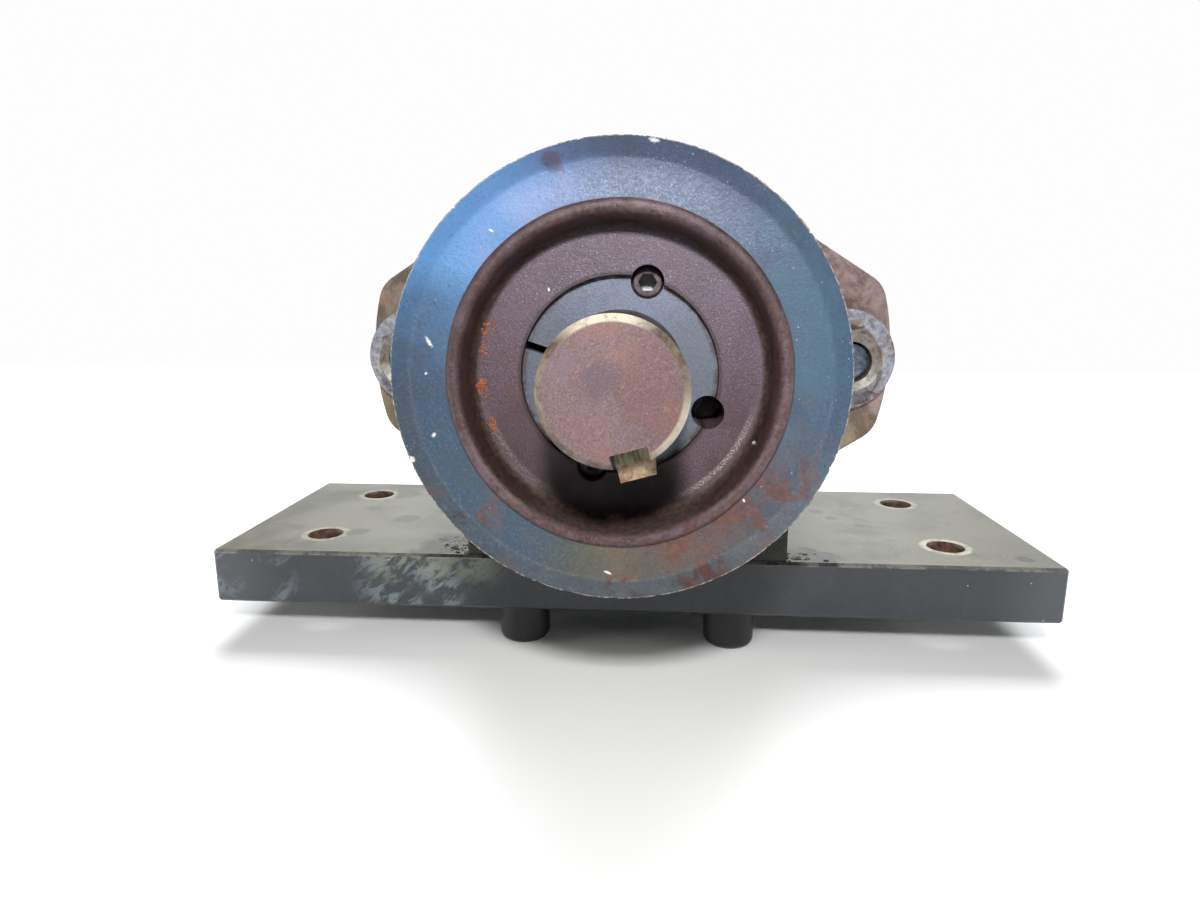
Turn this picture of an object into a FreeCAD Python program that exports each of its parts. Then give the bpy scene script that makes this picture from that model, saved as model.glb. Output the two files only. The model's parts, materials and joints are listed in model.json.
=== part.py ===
"""Hydraulic gear motor on an upright bracket and base plate, with a flanged belt pulley on its shaft.

Millimetres. +Z is up and the shaft points to -Y. The origin is the middle of the four base holes,
on the underside of the base plate. Reach is a distance forward of the bracket's front face, and
depth is a distance behind it.
"""
import FreeCAD, Part
import math
import os
from FreeCAD import Vector

# Base plate
plate_length = 228.6
plate_width = 76.2
plate_thick = 15.2
plate_edge_break = 0.7
base_hole_radius = 5.0
base_hole_span_x = 177.8
base_hole_span_y = 44.45

# Upright bracket, whose ears and pilot bore follow the two-bolt pilot mounting of the motor
axis_height = 68.6
upright_thick = 19.0
leg_width = 85.0
foot_thick = 8.0
foot_length = 66.0
foot_corner_radius = 5.0
casting_edge_break = 0.8
ear_disc_radius = 48.7
ear_reach = 65.0
ear_end_radius = 60.0
ear_corner_radius = 8.0
ear_slant = 32.4
pilot_radius = 41.275
pilot_height = 6.3
ear_bolt_margin = 11.8

# Screws that hold the bracket from below
foot_screw_span = 57.2
foot_screw_setback = 8.0
foot_screw_rear_margin = 9.0
foot_screw_radius = 4.76
foot_screw_bite = 16.0
foot_head_radius = 6.9
foot_head_height = 11.0
foot_head_round = 2.4
foot_socket_flats = 7.9
foot_socket_depth = 5.5

# Clearances and small breaks that several pieces share
cut_overrun = 1.0
seat_gap = 0.05
end_gap = 0.05
running_gap = 0.03
bolt_clearance = 0.4
motor_clearance = 1.0
hex_face_share = 0.97
hex_corner_gap = 0.2
hex_chamfer_angle = 30.0
flat_up_turn = 30.0

# Bolts, washers and nuts through the ears
ear_bolt_radius = 4.76
ear_bolt_flats = 14.3
ear_bolt_head = 6.0
ear_bolt_end_below_nut = 1.6
ear_bolt_tip_round = 2.1
washer_radius = 12.3
washer_thick = 1.9
nut_height = 8.3
nut_mouth_width = 1.9
nut_mouth_depth = 0.9
left_nut_turn = 17.0
right_nut_turn = 8.0

# Motor housing and covers
motor_flange_thick = 12.0
motor_disc_radius = 43.0
cover_neck = 16.0
housing_length = 46.0
rear_cover_thick = 18.0
housing_half_width = 36.0
housing_below_axis = 28.0
housing_above_axis = 50.0
housing_corner = 14.0
cover_edge_break = 2.0
port_boss_radius = 17.0
port_boss_height = 3.0
port_radius = 10.3
port_thread_depth = 17.0
port_passage_radius = 6.5
port_passage_end = 5.0
through_bolt_x = 27.0
through_bolt_low = -19.0
through_bolt_high = 41.0
through_bolt_radius = 4.0
through_bolt_head_radius = 6.5
through_bolt_head = 8.0
through_bolt_head_chamfer = 0.6
through_bolt_socket_flats = 6.0
through_bolt_bite = 13.0
dowel_x = 28.5
dowel_offset = 2.0
dowel_radius = 3.0
dowel_half_length = 7.0
dowel_end_gap = 0.3
body_seal_radius = 19.3
body_seal_width = 2.4
body_seal_depth = 1.8
drain_radius = 5.6
drain_depth = 12.0
drain_bottom_gap = 1.0
drain_plug_flats = 17.0
drain_plug_head = 7.0

# Gears in mesh inside the housing
gear_module = 2.25
gear_teeth = 12
gear_pressure_angle = 25.0
gear_addendum = 2.25
gear_dedendum = 2.7
gear_backlash = 0.12
gear_flank_steps = 5
gear_width = 18.0
gear_tip_gap = 0.1
journal_radius = 8.5
journal_overhang = 2.0
journal_pocket_gap = 1.0
journal_pocket_depth = 3.0
idler_front_gap = 0.5
bush_liner_radius = 10.0

# Shaft, its ball bearing, seal and coupling to the drive gear
shaft_radius = 12.7
shaft_reach = 71.4
shaft_chamfer = 1.1
key_angle = -74.5
key_width = 6.35
key_floor = 9.8
key_setback = 7.0
key_length = 42.0
seal_radius = 25.4
seal_width = 7.9
seal_case_thick = 2.0
seal_web_thick = 2.2
seal_nose_depth = 1.5
seal_nose_gap = 1.2
seal_lip_start = 4.0
seal_lip_end = 5.0
seal_lip_thick = 3.0
seal_lip_setback = 1.0
snap_ring_width = 1.8
snap_ring_depth = 1.6
snap_ring_land = 3.4
snap_ring_gap = 8.0
cover_ring_gap_angle = 90.0
shaft_ring_gap_angle = 0.0
shaft_ring_width = 1.3
shaft_ring_depth = 0.8
shaft_ring_land = 3.0
bearing_width = 12.7
bearing_outer = 25.4
bearing_ball_radius = 3.95
bearing_ball_count = 9
bearing_race_gap = 0.06
bearing_inner_land = 16.4
bearing_outer_land = 21.7
cage_half_thick = 0.9
cage_width = 9.8
cage_pocket_gap = 0.12
shaft_shoulder_radius = 15.5
shaft_shoulder_width = 2.6
shoulder_side_gap = 2.0
shoulder_end_gap = 1.5
tang_width = 8.0
tang_depth = 5.0
spigot_gap = 0.6

# Taper bush and its screws
bush_reach = 43.1
bush_length = 22.2
bush_large_radius = 19.175
bush_half_taper = 4.0
bush_slit_angle = 162.0
bush_slit_width = 1.6
bush_hole_radius = 3.2
bush_hole_pitch = 18.7
bush_hole_depth = 13.0
bush_screw_angles = (73.6, -106.6)
bush_jack_angle = -22.0
bush_screw_length = 10.5
bush_screw_recess = 1.2
bush_screw_flats = 3.2
bush_screw_chamfer = 0.5
taper_gap = 0.03

# Toothed belt pulley and its two sheet flanges
belt_pitch = 8.0
pulley_teeth = 32
tip_below_pitch = 0.686
groove_depth = 3.45
groove_radius = 2.57
tip_round = 0.6
web_reach = 44.6
web_rear_reach = 21.6
rim_reach = 50.2
rim_width = 28.0
rim_inner_radius = 28.9
rear_recess_radius = 27.9
ring_seat_radius = 32.0
ring_thick = 1.3
ring_bend_radius = 39.8
ring_outer_radius = 42.9
ring_flare = 1.9
ring_lip_break = 0.25
staking_gap = 0.02
bead_radius = 32.6
bead_crest_radius = 31.4
bead_inner_radius = 29.7
bead_height = 1.4
web_fillet = 2.2

front = -plate_width / 2
upright_back = front + upright_thick
ear_bolt_span = 2 * (ear_reach - ear_bolt_margin)
flange_back = upright_back + motor_flange_thick
housing_front = flange_back + cover_neck
housing_back = housing_front + housing_length
cover_back = housing_back + rear_cover_thick
gear_distance = gear_module * gear_teeth
gear_front = housing_front + (housing_length - gear_width) / 2
gear_back = gear_front + gear_width
gear_tip_radius = gear_distance / 2 + gear_addendum
bore_radius = gear_tip_radius + gear_tip_gap
port_height = axis_height + gear_distance / 2
pilot_front = upright_back - pilot_height
bearing_front = pilot_front + seal_width + snap_ring_width
bearing_back = bearing_front + bearing_width
bearing_middle = (bearing_front + bearing_back) / 2
bearing_pitch = (bearing_inner_land + bearing_outer_land) / 2
pulley_pitch_radius = pulley_teeth * belt_pitch / (2 * math.pi)
pulley_tip_radius = pulley_pitch_radius - tip_below_pitch
along_y = Vector(0, 1, 0)
up = Vector(0, 0, 1)


def polar(radius, degrees, y):
    """A point around the shaft line; degrees run anticlockwise from +X as seen from the front."""
    a = math.radians(degrees)
    return Vector(radius * math.cos(a), y, axis_height + radius * math.sin(a))


def rod(radius, y0, y1, x=0.0, z=axis_height):
    """A round bar along Y."""
    return Part.makeCylinder(radius, y1 - y0, Vector(x, y0, z), along_y)


def box(x0, x1, y0, y1, z0, z1):
    return Part.makeBox(x1 - x0, y1 - y0, z1 - z0, Vector(x0, y0, z0))


def tube(outer, inner, y0, y1, x=0.0, z=axis_height):
    return rod(outer, y0, y1, x, z).cut(rod(inner, y0, y1, x, z))


def turned(points, x=0.0, z=axis_height):
    """A solid of revolution about a line along Y, from (y, radius) corners."""
    corners = [Vector(x, y, z + radius) for y, radius in points]
    wire = Part.makePolygon(corners + corners[:1])
    return Part.Face(wire).revolve(Vector(x, 0, z), along_y, 360)


def spin(shape, degrees):
    """Turn a shape clockwise about the shaft line, as seen from the front."""
    return shape.rotated(Vector(0, 0, axis_height), along_y, degrees)


def hex_bar(flats, y0, y1, x, z, turn=0.0):
    """A hexagonal bar along Y, with a corner at turn degrees from +X."""
    radius = flats / math.sqrt(3)
    corners = []
    for i in range(6):
        a = math.radians(turn + 60 * i)
        corners.append(Vector(x + radius * math.cos(a), y0, z + radius * math.sin(a)))
    wire = Part.makePolygon(corners + corners[:1])
    return Part.Face(wire).extrude(Vector(0, y1 - y0, 0))


def motor_relief():
    """The room that bracket and plate leave round the motor's flange behind the upright."""
    return rod(motor_disc_radius + motor_clearance, upright_back, flange_back + motor_clearance)


def circles_on_plane(shape, y):
    return [e for e in edges_on_plane(shape, y) if hasattr(e.Curve, "Radius")]


def edges_along_y(shape):
    found = []
    for edge in shape.Edges:
        a, b = edge.Vertexes[0].Point, edge.Vertexes[-1].Point
        if abs(a.x - b.x) < 1e-6 and abs(a.z - b.z) < 1e-6 and abs(a.y - b.y) > 1e-6:
            found.append(edge)
    return found


def edges_on_plane(shape, y):
    return [e for e in shape.Edges if all(abs(v.Point.y - y) < 1e-6 for v in e.Vertexes)]


def rounded_block(half_width, z0, z1, corner, y0, y1):
    block = box(-half_width, half_width, y0, y1, z0, z1)
    return block.makeFillet(corner, edges_along_y(block))


def arc_edge(start, middle, end):
    return Part.Arc(start, middle, end).toShape()


def ear_plate(disc_radius, y0, y1):
    """The two-bolt flange: a disc, two straight slants to each ear, and softly rounded ends."""
    a = math.radians(ear_slant)
    normal = (math.sin(a), math.cos(a))
    inner = disc_radius - ear_corner_radius
    base_x = inner * normal[0] - (ear_reach - ear_end_radius)
    base_z = inner * normal[1]
    half_b = base_x * math.cos(a) - base_z * math.sin(a)
    c = base_x ** 2 + base_z ** 2 - (ear_end_radius - ear_corner_radius) ** 2
    run = -half_b + math.sqrt(half_b ** 2 - c)
    centre = (inner * normal[0] + run * math.cos(a), base_z - run * math.sin(a))
    end_a = math.atan2(centre[1], centre[0] - (ear_reach - ear_end_radius))
    mid_a = (end_a + math.pi / 2 - a) / 2

    def point(x, z, sx, sz):
        return Vector(sx * x, y0, axis_height + sz * z)

    def quarter(sx, sz):
        tangent = (disc_radius * normal[0], disc_radius * normal[1])
        r = ear_corner_radius
        corner_in = (centre[0] + r * normal[0], centre[1] + r * normal[1])
        corner_mid = (centre[0] + r * math.cos(mid_a), centre[1] + r * math.sin(mid_a))
        corner_out = (centre[0] + r * math.cos(end_a), centre[1] + r * math.sin(end_a))
        return [point(*p, sx, sz) for p in (tangent, corner_in, corner_mid, corner_out)]

    edges = []
    for sx in (1, -1):
        upper, lower = quarter(sx, 1), quarter(sx, -1)
        for t, first, mid, last in (upper, lower):
            edges.append(Part.LineSegment(t, first).toShape())
            edges.append(arc_edge(first, mid, last))
        edges.append(arc_edge(upper[3], point(ear_reach, 0, sx, 1), lower[3]))
    right, left = quarter(1, 1)[0], quarter(-1, 1)[0]
    edges.append(arc_edge(right, point(0, disc_radius, 1, 1), left))
    right, left = quarter(1, -1)[0], quarter(-1, -1)[0]
    edges.append(arc_edge(right, point(0, disc_radius, 1, -1), left))
    wire = Part.Wire(Part.__sortEdges__(edges))
    return Part.Face(wire).extrude(Vector(0, y1 - y0, 0))


def ear_places():
    return [(side * ear_bolt_span / 2, axis_height) for side in (-1, 1)]


def foot_screw_places():
    """Two screws in the upright and two near the end of the foot."""
    rear = front + foot_length - foot_screw_rear_margin
    places = []
    for y in (front + foot_screw_setback, rear):
        for side in (-1, 1):
            places.append((side * foot_screw_span / 2, y))
    return places


def upright_hole(radius, x, y):
    """A hole right through the base plate."""
    start = Vector(x, y, -cut_overrun)
    return Part.makeCylinder(radius, plate_thick + 2 * cut_overrun, start, up)


def base_plate():
    half_x, half_y = plate_length / 2, plate_width / 2
    plate = box(-half_x, half_x, -half_y, half_y, 0, plate_thick)
    plate = plate.makeChamfer(plate_edge_break, plate.Edges)
    for sx in (-1, 1):
        for sy in (-1, 1):
            x, y = sx * base_hole_span_x / 2, sy * base_hole_span_y / 2
            plate = plate.cut(upright_hole(base_hole_radius, x, y))
    for x, y in foot_screw_places():
        plate = plate.cut(upright_hole(foot_screw_radius + bolt_clearance, x, y))
    return plate.cut(motor_relief())


def upright_bracket():
    ears = ear_plate(ear_disc_radius, front, upright_back)
    ears = ears.cut(box(-ear_reach, ear_reach, front, upright_back, -axis_height, plate_thick))
    leg = box(-leg_width / 2, leg_width / 2, front, upright_back, plate_thick, axis_height)
    upright = ears.fuse(leg).removeSplitter()
    upright = upright.makeChamfer(casting_edge_break, edges_on_plane(upright, front))
    foot_back = front + foot_length
    foot_top = plate_thick + foot_thick
    foot = box(-leg_width / 2, leg_width / 2, upright_back, foot_back, plate_thick, foot_top)
    corners = [e for e in edges_on_plane(foot, foot_back)
               if abs(e.CenterOfMass.z - foot_top + foot_thick / 2) < 1e-6]
    foot = foot.makeFillet(foot_corner_radius, corners)
    bracket = upright.fuse(foot)
    bracket = bracket.cut(rod(pilot_radius + seat_gap, front - cut_overrun, upright_back + cut_overrun))
    bracket = bracket.cut(motor_relief())
    for x, z in ear_places():
        bracket = bracket.cut(rod(ear_bolt_radius + bolt_clearance, front - cut_overrun,
                                  upright_back + cut_overrun, x, z))
    for x, y in foot_screw_places():
        depth = foot_screw_bite + cut_overrun if y < upright_back else foot_thick
        start = Vector(x, y, plate_thick)
        bracket = bracket.cut(Part.makeCylinder(foot_screw_radius + seat_gap, depth, start, up))
    return bracket


def foot_screw(x, y):
    """A socket-head screw, head down, whose rim is well rounded."""
    bite = foot_screw_bite if y < upright_back else foot_thick
    head = Part.makeCylinder(foot_head_radius, foot_head_height, Vector(x, y, -foot_head_height), up)
    rim = [e for e in head.Edges if abs(e.CenterOfMass.z + foot_head_height) < 1e-6]
    head = head.makeFillet(foot_head_round, rim)
    socket = hex_bar(foot_socket_flats, 0, foot_socket_depth, 0, 0)
    socket.rotate(Vector(0, 0, 0), Vector(1, 0, 0), 90)
    socket.translate(Vector(x, y, -foot_head_height))
    shank = Part.makeCylinder(foot_screw_radius, plate_thick + bite, Vector(x, y, 0), up)
    return head.cut(socket).fuse(shank).removeSplitter()


def ear_bolt(x, z):
    head_front = upright_back + motor_flange_thick
    end = front - washer_thick - nut_height + ear_bolt_end_below_nut
    shank = rod(ear_bolt_radius, end, head_front, x, z)
    tip = [e for e in shank.Edges if abs(e.CenterOfMass.y - end) < 1e-6]
    shank = shank.makeFillet(ear_bolt_tip_round, tip)
    head = hex_bar(ear_bolt_flats, head_front, head_front + ear_bolt_head, x, z, flat_up_turn)
    return shank.fuse(head.common(hex_dressing(ear_bolt_flats, head_front, ear_bolt_head, x, z, False)))


def hex_dressing(flats, y0, height, x, z, front_too):
    """The turned shape that takes the corners off a hexagon, at one end or at both."""
    corner = flats / math.sqrt(3) + hex_corner_gap
    face = flats / 2 * hex_face_share
    slope = (corner - face) * math.tan(math.radians(hex_chamfer_angle))
    points = [(y0, 0), (y0, corner), (y0 + height - slope, corner), (y0 + height, face), (y0 + height, 0)]
    if front_too:
        points[1:2] = [(y0, face), (y0 + slope, corner)]
    return turned(points, x, z)


def ear_nut(x, z, turn):
    back = front - washer_thick
    y0 = back - nut_height
    body = hex_bar(ear_bolt_flats, y0, back, x, z, turn)
    body = body.common(hex_dressing(ear_bolt_flats, y0, nut_height, x, z, True))
    bore = ear_bolt_radius + seat_gap
    slope = nut_mouth_width / nut_mouth_depth
    start, end = y0 - cut_overrun, back + cut_overrun
    mouth = turned([(start, 0), (start, bore + nut_mouth_width + slope * cut_overrun),
                    (y0 + nut_mouth_depth, bore), (end, bore), (end, 0)], x, z)
    return body.cut(mouth)


def through_bolt_places():
    places = []
    for side in (-1, 1):
        for height in (through_bolt_low, through_bolt_high):
            places.append((side * through_bolt_x, axis_height + height))
    return places


def motor_block(y0, y1):
    return rounded_block(housing_half_width, axis_height - housing_below_axis,
                         axis_height + housing_above_axis, housing_corner, y0, y1)


def front_cover():
    """Pilot, two-bolt flange and neck in one casting, bored for the shaft's bearing and seal."""
    cover = ear_plate(motor_disc_radius, upright_back, flange_back)
    cover = cover.fuse(rod(pilot_radius, pilot_front, upright_back))
    cover = cover.fuse(motor_block(flange_back, housing_front)).removeSplitter()
    cover = cover.cut(rod(bearing_outer + seat_gap, pilot_front - cut_overrun, bearing_back + seat_gap))
    groove = tube(bearing_outer + snap_ring_depth, bearing_outer - cut_overrun,
                  bearing_front - snap_ring_width, bearing_front)
    cover = cover.cut(groove)
    relief_back = bearing_back + shaft_shoulder_width + shoulder_end_gap
    cover = cover.cut(rod(shaft_shoulder_radius + shoulder_side_gap, bearing_back, relief_back))
    end = housing_front + cut_overrun
    cover = cover.cut(rod(journal_radius + spigot_gap, relief_back - cut_overrun, end))
    for x, z in ear_places():
        cover = cover.cut(rod(ear_bolt_radius + bolt_clearance, upright_back - cut_overrun,
                              flange_back + cut_overrun, x, z))
    for x, z in through_bolt_places():
        start = housing_front - through_bolt_bite - cut_overrun
        cover = cover.cut(rod(through_bolt_radius + seat_gap, start, end, x, z))
    for x, z in dowel_places():
        cover = cover.cut(dowel_hole(housing_front, x, z))
    return cover


def dowel_places():
    return [(side * dowel_x, port_height - side * dowel_offset) for side in (-1, 1)]


def dowel_hole(y, x, z):
    """The hole for a dowel that crosses the joint at y."""
    half = dowel_half_length + dowel_end_gap
    return rod(dowel_radius + seat_gap, y - half, y + half, x, z)


def twin_bore(radius, y0, y1):
    """Two overlapping bores, one for each gear."""
    lower = rod(radius, y0, y1)
    return lower.fuse(rod(radius, y0, y1, 0, axis_height + gear_distance))


def stadium(radius, y0, y1):
    middle = box(-radius, radius, y0, y1, axis_height, axis_height + gear_distance)
    return twin_bore(radius, y0, y1).fuse(middle).removeSplitter()


def body_seal(y0, y1):
    half = body_seal_width / 2
    return stadium(body_seal_radius + half, y0, y1).cut(stadium(body_seal_radius - half, y0, y1))


def gear_housing():
    housing = motor_block(housing_front, housing_back)
    reach = housing_half_width + port_boss_height
    middle = (gear_front + gear_back) / 2
    boss_start = Vector(-reach, middle, port_height)
    boss = Part.makeCylinder(port_boss_radius, 2 * reach, boss_start, Vector(1, 0, 0))
    housing = housing.fuse(boss)
    start, end = housing_front - cut_overrun, housing_back + cut_overrun
    housing = housing.cut(twin_bore(bore_radius, start, end))
    for side in (-1, 1):
        mouth = Vector(side * reach, middle, port_height)
        inward = Vector(-side, 0, 0)
        housing = housing.cut(Part.makeCylinder(port_radius, port_thread_depth, mouth, inward))
        passage = Part.makeCylinder(port_passage_radius, reach - port_passage_end, mouth, inward)
        housing = housing.cut(passage)
    for x, z in through_bolt_places():
        housing = housing.cut(rod(through_bolt_radius + bolt_clearance, start, end, x, z))
    for y in (housing_front, housing_back):
        for x, z in dowel_places():
            housing = housing.cut(dowel_hole(y, x, z))
    housing = housing.cut(body_seal(housing_front, housing_front + body_seal_depth))
    return housing.cut(body_seal(housing_back - body_seal_depth, housing_back))


def rear_cover():
    cover = motor_block(housing_back, cover_back)
    cover = cover.makeChamfer(cover_edge_break, edges_on_plane(cover, cover_back))
    start, end = housing_back - cut_overrun, cover_back + cut_overrun
    for x, z in through_bolt_places():
        cover = cover.cut(rod(through_bolt_radius + bolt_clearance, start, end, x, z))
    for x, z in dowel_places():
        cover = cover.cut(dowel_hole(housing_back, x, z))
    for height in (0, gear_distance):
        pocket = rod(journal_radius + journal_pocket_gap, start, housing_back + journal_pocket_depth,
                     0, axis_height + height)
        cover = cover.cut(pocket)
    return cover.cut(rod(drain_radius + seat_gap, cover_back - drain_depth, end, 0, port_height))


def drain_plug():
    z = port_height
    head = hex_bar(drain_plug_flats, cover_back, cover_back + drain_plug_head, 0, z)
    head = head.common(hex_dressing(drain_plug_flats, cover_back, drain_plug_head, 0, z, False))
    return head.fuse(rod(drain_radius, cover_back - drain_depth + drain_bottom_gap, cover_back, 0, z))


def through_bolt(x, z):
    start = housing_front - through_bolt_bite
    shank = rod(through_bolt_radius, start, cover_back, x, z)
    head = rod(through_bolt_head_radius, cover_back, cover_back + through_bolt_head, x, z)
    end = cover_back + through_bolt_head
    head = head.makeChamfer(through_bolt_head_chamfer, circles_on_plane(head, end))
    socket = hex_bar(through_bolt_socket_flats, end - through_bolt_head / 2, end + cut_overrun, x, z)
    return shank.fuse(head.cut(socket)).removeSplitter()


def flank_half_angle(base_radius, radius, base_half):
    """Half of a tooth's angle at a radius, from half of its angle on the base circle."""
    alpha = math.acos(min(1.0, base_radius / radius))
    return base_half - (math.tan(alpha) - alpha)


def gear_blank(y0, y1, z, first_tooth):
    """A spur gear: involute flanks, straight below the base circle, arcs at tip and root."""
    pitch_radius = gear_module * gear_teeth / 2
    pressure = math.radians(gear_pressure_angle)
    base_radius = pitch_radius * math.cos(pressure)
    root_radius = pitch_radius - gear_dedendum
    half_tooth = (math.pi * gear_module / 2 - gear_backlash) / 2 / pitch_radius
    base_half = half_tooth + math.tan(pressure) - pressure

    def at(radius, angle):
        return Vector(radius * math.cos(angle), y0, z + radius * math.sin(angle))

    rise = gear_tip_radius - base_radius
    radii = [base_radius + rise * i / gear_flank_steps for i in range(gear_flank_steps + 1)]
    half_angles = [flank_half_angle(base_radius, r, base_half) for r in radii]
    edges = []
    for tooth in range(gear_teeth):
        middle = math.radians(first_tooth) + 2 * math.pi * tooth / gear_teeth
        after = middle + 2 * math.pi / gear_teeth
        rising = [at(r, middle - h) for r, h in zip(radii, half_angles)]
        falling = [at(r, middle + h) for r, h in zip(radii, half_angles)][::-1]
        for flank in (rising, falling):
            curve = Part.BSplineCurve()
            curve.interpolate(flank)
            edges.append(curve.toShape())
        edges.append(arc_edge(rising[-1], at(gear_tip_radius, middle), falling[0]))
        foot_in = at(root_radius, middle - base_half)
        foot_out = at(root_radius, middle + base_half)
        edges.append(Part.LineSegment(foot_in, rising[0]).toShape())
        edges.append(Part.LineSegment(falling[-1], foot_out).toShape())
        next_foot = at(root_radius, after - base_half)
        edges.append(arc_edge(foot_out, at(root_radius, middle + math.pi / gear_teeth), next_foot))
    wire = Part.Wire(Part.__sortEdges__(edges))
    return Part.Face(wire).extrude(Vector(0, y1 - y0, 0))


def gear_and_journals(z, first_tooth, journal_front):
    gear = gear_blank(gear_front + end_gap, gear_back - end_gap, z, first_tooth)
    journals = rod(journal_radius, journal_front, housing_back + journal_overhang, 0, z)
    return gear.fuse(journals)


def drive_gear():
    """The lower gear, whose front journal passes the cover and ends in a tang for the shaft."""
    shaft_end = shaft_rear()
    gear = gear_and_journals(axis_height, 90.0, shaft_end + end_gap)
    half = tang_width / 2 - seat_gap
    tang_end = shaft_end + cut_overrun
    tang = box(-half, half, shaft_end - tang_depth + end_gap, tang_end,
               axis_height - journal_radius, axis_height + journal_radius)
    tang = tang.common(rod(journal_radius, shaft_end - tang_depth, tang_end))
    return gear.fuse(tang)


def idler_gear():
    half_pitch = 180.0 / gear_teeth
    return gear_and_journals(axis_height + gear_distance, 90.0 + half_pitch,
                             housing_front + idler_front_gap)


def bearing_block(y0, y1):
    """The figure-eight block that carries the journals on one side of the gears."""
    block = twin_bore(bore_radius - seat_gap, y0, y1).removeSplitter()
    for height in (0, gear_distance):
        z = axis_height + height
        block = block.cut(rod(bush_liner_radius + seat_gap, y0 - cut_overrun, y1 + cut_overrun, 0, z))
    return block


def bush_liners(y0, y1):
    inner = journal_radius + running_gap
    return [tube(bush_liner_radius, inner, y0, y1, 0, axis_height + h) for h in (0, gear_distance)]


def shaft_rear():
    return bearing_back + shaft_shoulder_width


def key_slot(width, y0, y1, floor, top):
    """A block along the shaft in the key's direction, from floor to top radius."""
    block = box(-width / 2, width / 2, y0, y1, axis_height + floor, axis_height + top)
    return spin(block, 90 - key_angle)


def shaft():
    """The keyed output shaft, with its bearing shoulder and the slot that drives the gear."""
    end = front - shaft_reach
    rear = shaft_rear()
    body = turned([(end, 0), (end, shaft_radius - shaft_chamfer), (end + shaft_chamfer, shaft_radius),
                   (bearing_back, shaft_radius), (bearing_back, shaft_shoulder_radius),
                   (rear, shaft_shoulder_radius), (rear, 0)])
    groove = tube(shaft_radius + cut_overrun, shaft_radius - shaft_ring_depth,
                  bearing_front - shaft_ring_width, bearing_front)
    body = body.cut(groove)
    key_back = end + key_setback + key_length
    slot = key_slot(key_width + 2 * seat_gap, end - cut_overrun, key_back, key_floor - seat_gap,
                    shaft_radius + cut_overrun)
    body = body.cut(slot)
    half = tang_width / 2
    reach = shaft_shoulder_radius + cut_overrun
    tang = box(-half, half, rear - tang_depth, rear + cut_overrun, axis_height - reach, axis_height + reach)
    return body.cut(tang)


def shaft_key():
    start = front - shaft_reach + key_setback
    top = key_floor + key_width
    key = key_slot(key_width, start, start + key_length - seat_gap, key_floor, top)
    return key


def bush_cone(extra, y0, y1):
    """The bush's taper, wider by extra all round, between two stations."""
    mouth = front - bush_reach
    slope = math.tan(math.radians(bush_half_taper))
    radii = [bush_large_radius + extra - slope * (y - mouth) for y in (y0, y1)]
    return Part.makeCone(radii[0], radii[1], y1 - y0, Vector(0, y0, axis_height), along_y)


def bush_holes(extra_front):
    """The half-and-half holes between bush and hub: two for screws and one left open."""
    y0 = front - bush_reach
    holes = []
    for angle in bush_screw_angles + (bush_jack_angle,):
        centre = polar(bush_hole_pitch, angle, y0)
        holes.append(rod(bush_hole_radius, y0 - extra_front, y0 + bush_hole_depth, centre.x, centre.z))
    return holes


def taper_bush():
    y0 = front - bush_reach
    y1 = y0 + bush_length
    start, end = y0 - cut_overrun, y1 + cut_overrun
    bush = bush_cone(0, y0, y1).cut(rod(shaft_radius + seat_gap, start, end))
    top = key_floor + key_width + seat_gap
    bush = bush.cut(key_slot(key_width + 2 * seat_gap, start, end, 0, top))
    slit = box(-bush_slit_width / 2, bush_slit_width / 2, start, end,
               axis_height, axis_height + bush_large_radius + cut_overrun)
    bush = bush.cut(spin(slit, 90 - bush_slit_angle))
    return bush.cut(Part.makeCompound(bush_holes(cut_overrun)))


def bush_screw(angle):
    y0 = front - bush_reach + bush_screw_recess
    centre = polar(bush_hole_pitch, angle, y0)
    body = rod(bush_hole_radius - seat_gap, y0, y0 + bush_screw_length, centre.x, centre.z)
    body = body.makeChamfer(bush_screw_chamfer, circles_on_plane(body, y0))
    socket = hex_bar(bush_screw_flats, y0 - cut_overrun, y0 + bush_screw_length / 2, centre.x, centre.z)
    return body.cut(socket)


def toothed_band(y0, y1):
    """The belt teeth: round-bottomed grooves between narrow lands with rounded corners."""
    groove_centre = pulley_tip_radius - groove_depth + groove_radius
    corner_x = groove_radius + tip_round
    corner_z = math.sqrt((pulley_tip_radius - tip_round) ** 2 - corner_x ** 2)
    scale = pulley_tip_radius / (pulley_tip_radius - tip_round)
    lean = math.atan2(corner_x, corner_z)
    round_x = corner_x + tip_round * math.sin((lean - math.pi / 2) / 2)
    round_z = corner_z + tip_round * math.cos((lean - math.pi / 2) / 2)

    def at(x, z, angle):
        c, s = math.cos(angle), math.sin(angle)
        return Vector(x * c + z * s, y0, axis_height - x * s + z * c)

    edges = []
    step = 2 * math.pi / pulley_teeth
    for i in range(pulley_teeth):
        a = i * step
        left = at(-groove_radius, groove_centre, a)
        right = at(groove_radius, groove_centre, a)
        edges.append(arc_edge(left, at(0, groove_centre - groove_radius, a), right))
        for side, start in ((1, right), (-1, left)):
            wall = at(side * groove_radius, corner_z, a)
            land = at(side * corner_x * scale, corner_z * scale, a)
            edges.append(Part.LineSegment(start, wall).toShape())
            edges.append(arc_edge(wall, at(side * round_x, round_z, a), land))
        land_end = at(-corner_x * scale, corner_z * scale, a + step)
        start = at(corner_x * scale, corner_z * scale, a)
        edges.append(arc_edge(start, at(0, pulley_tip_radius, a + step / 2), land_end))
    wire = Part.Wire(Part.__sortEdges__(edges))
    return Part.Face(wire).extrude(Vector(0, y1 - y0, 0))


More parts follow.
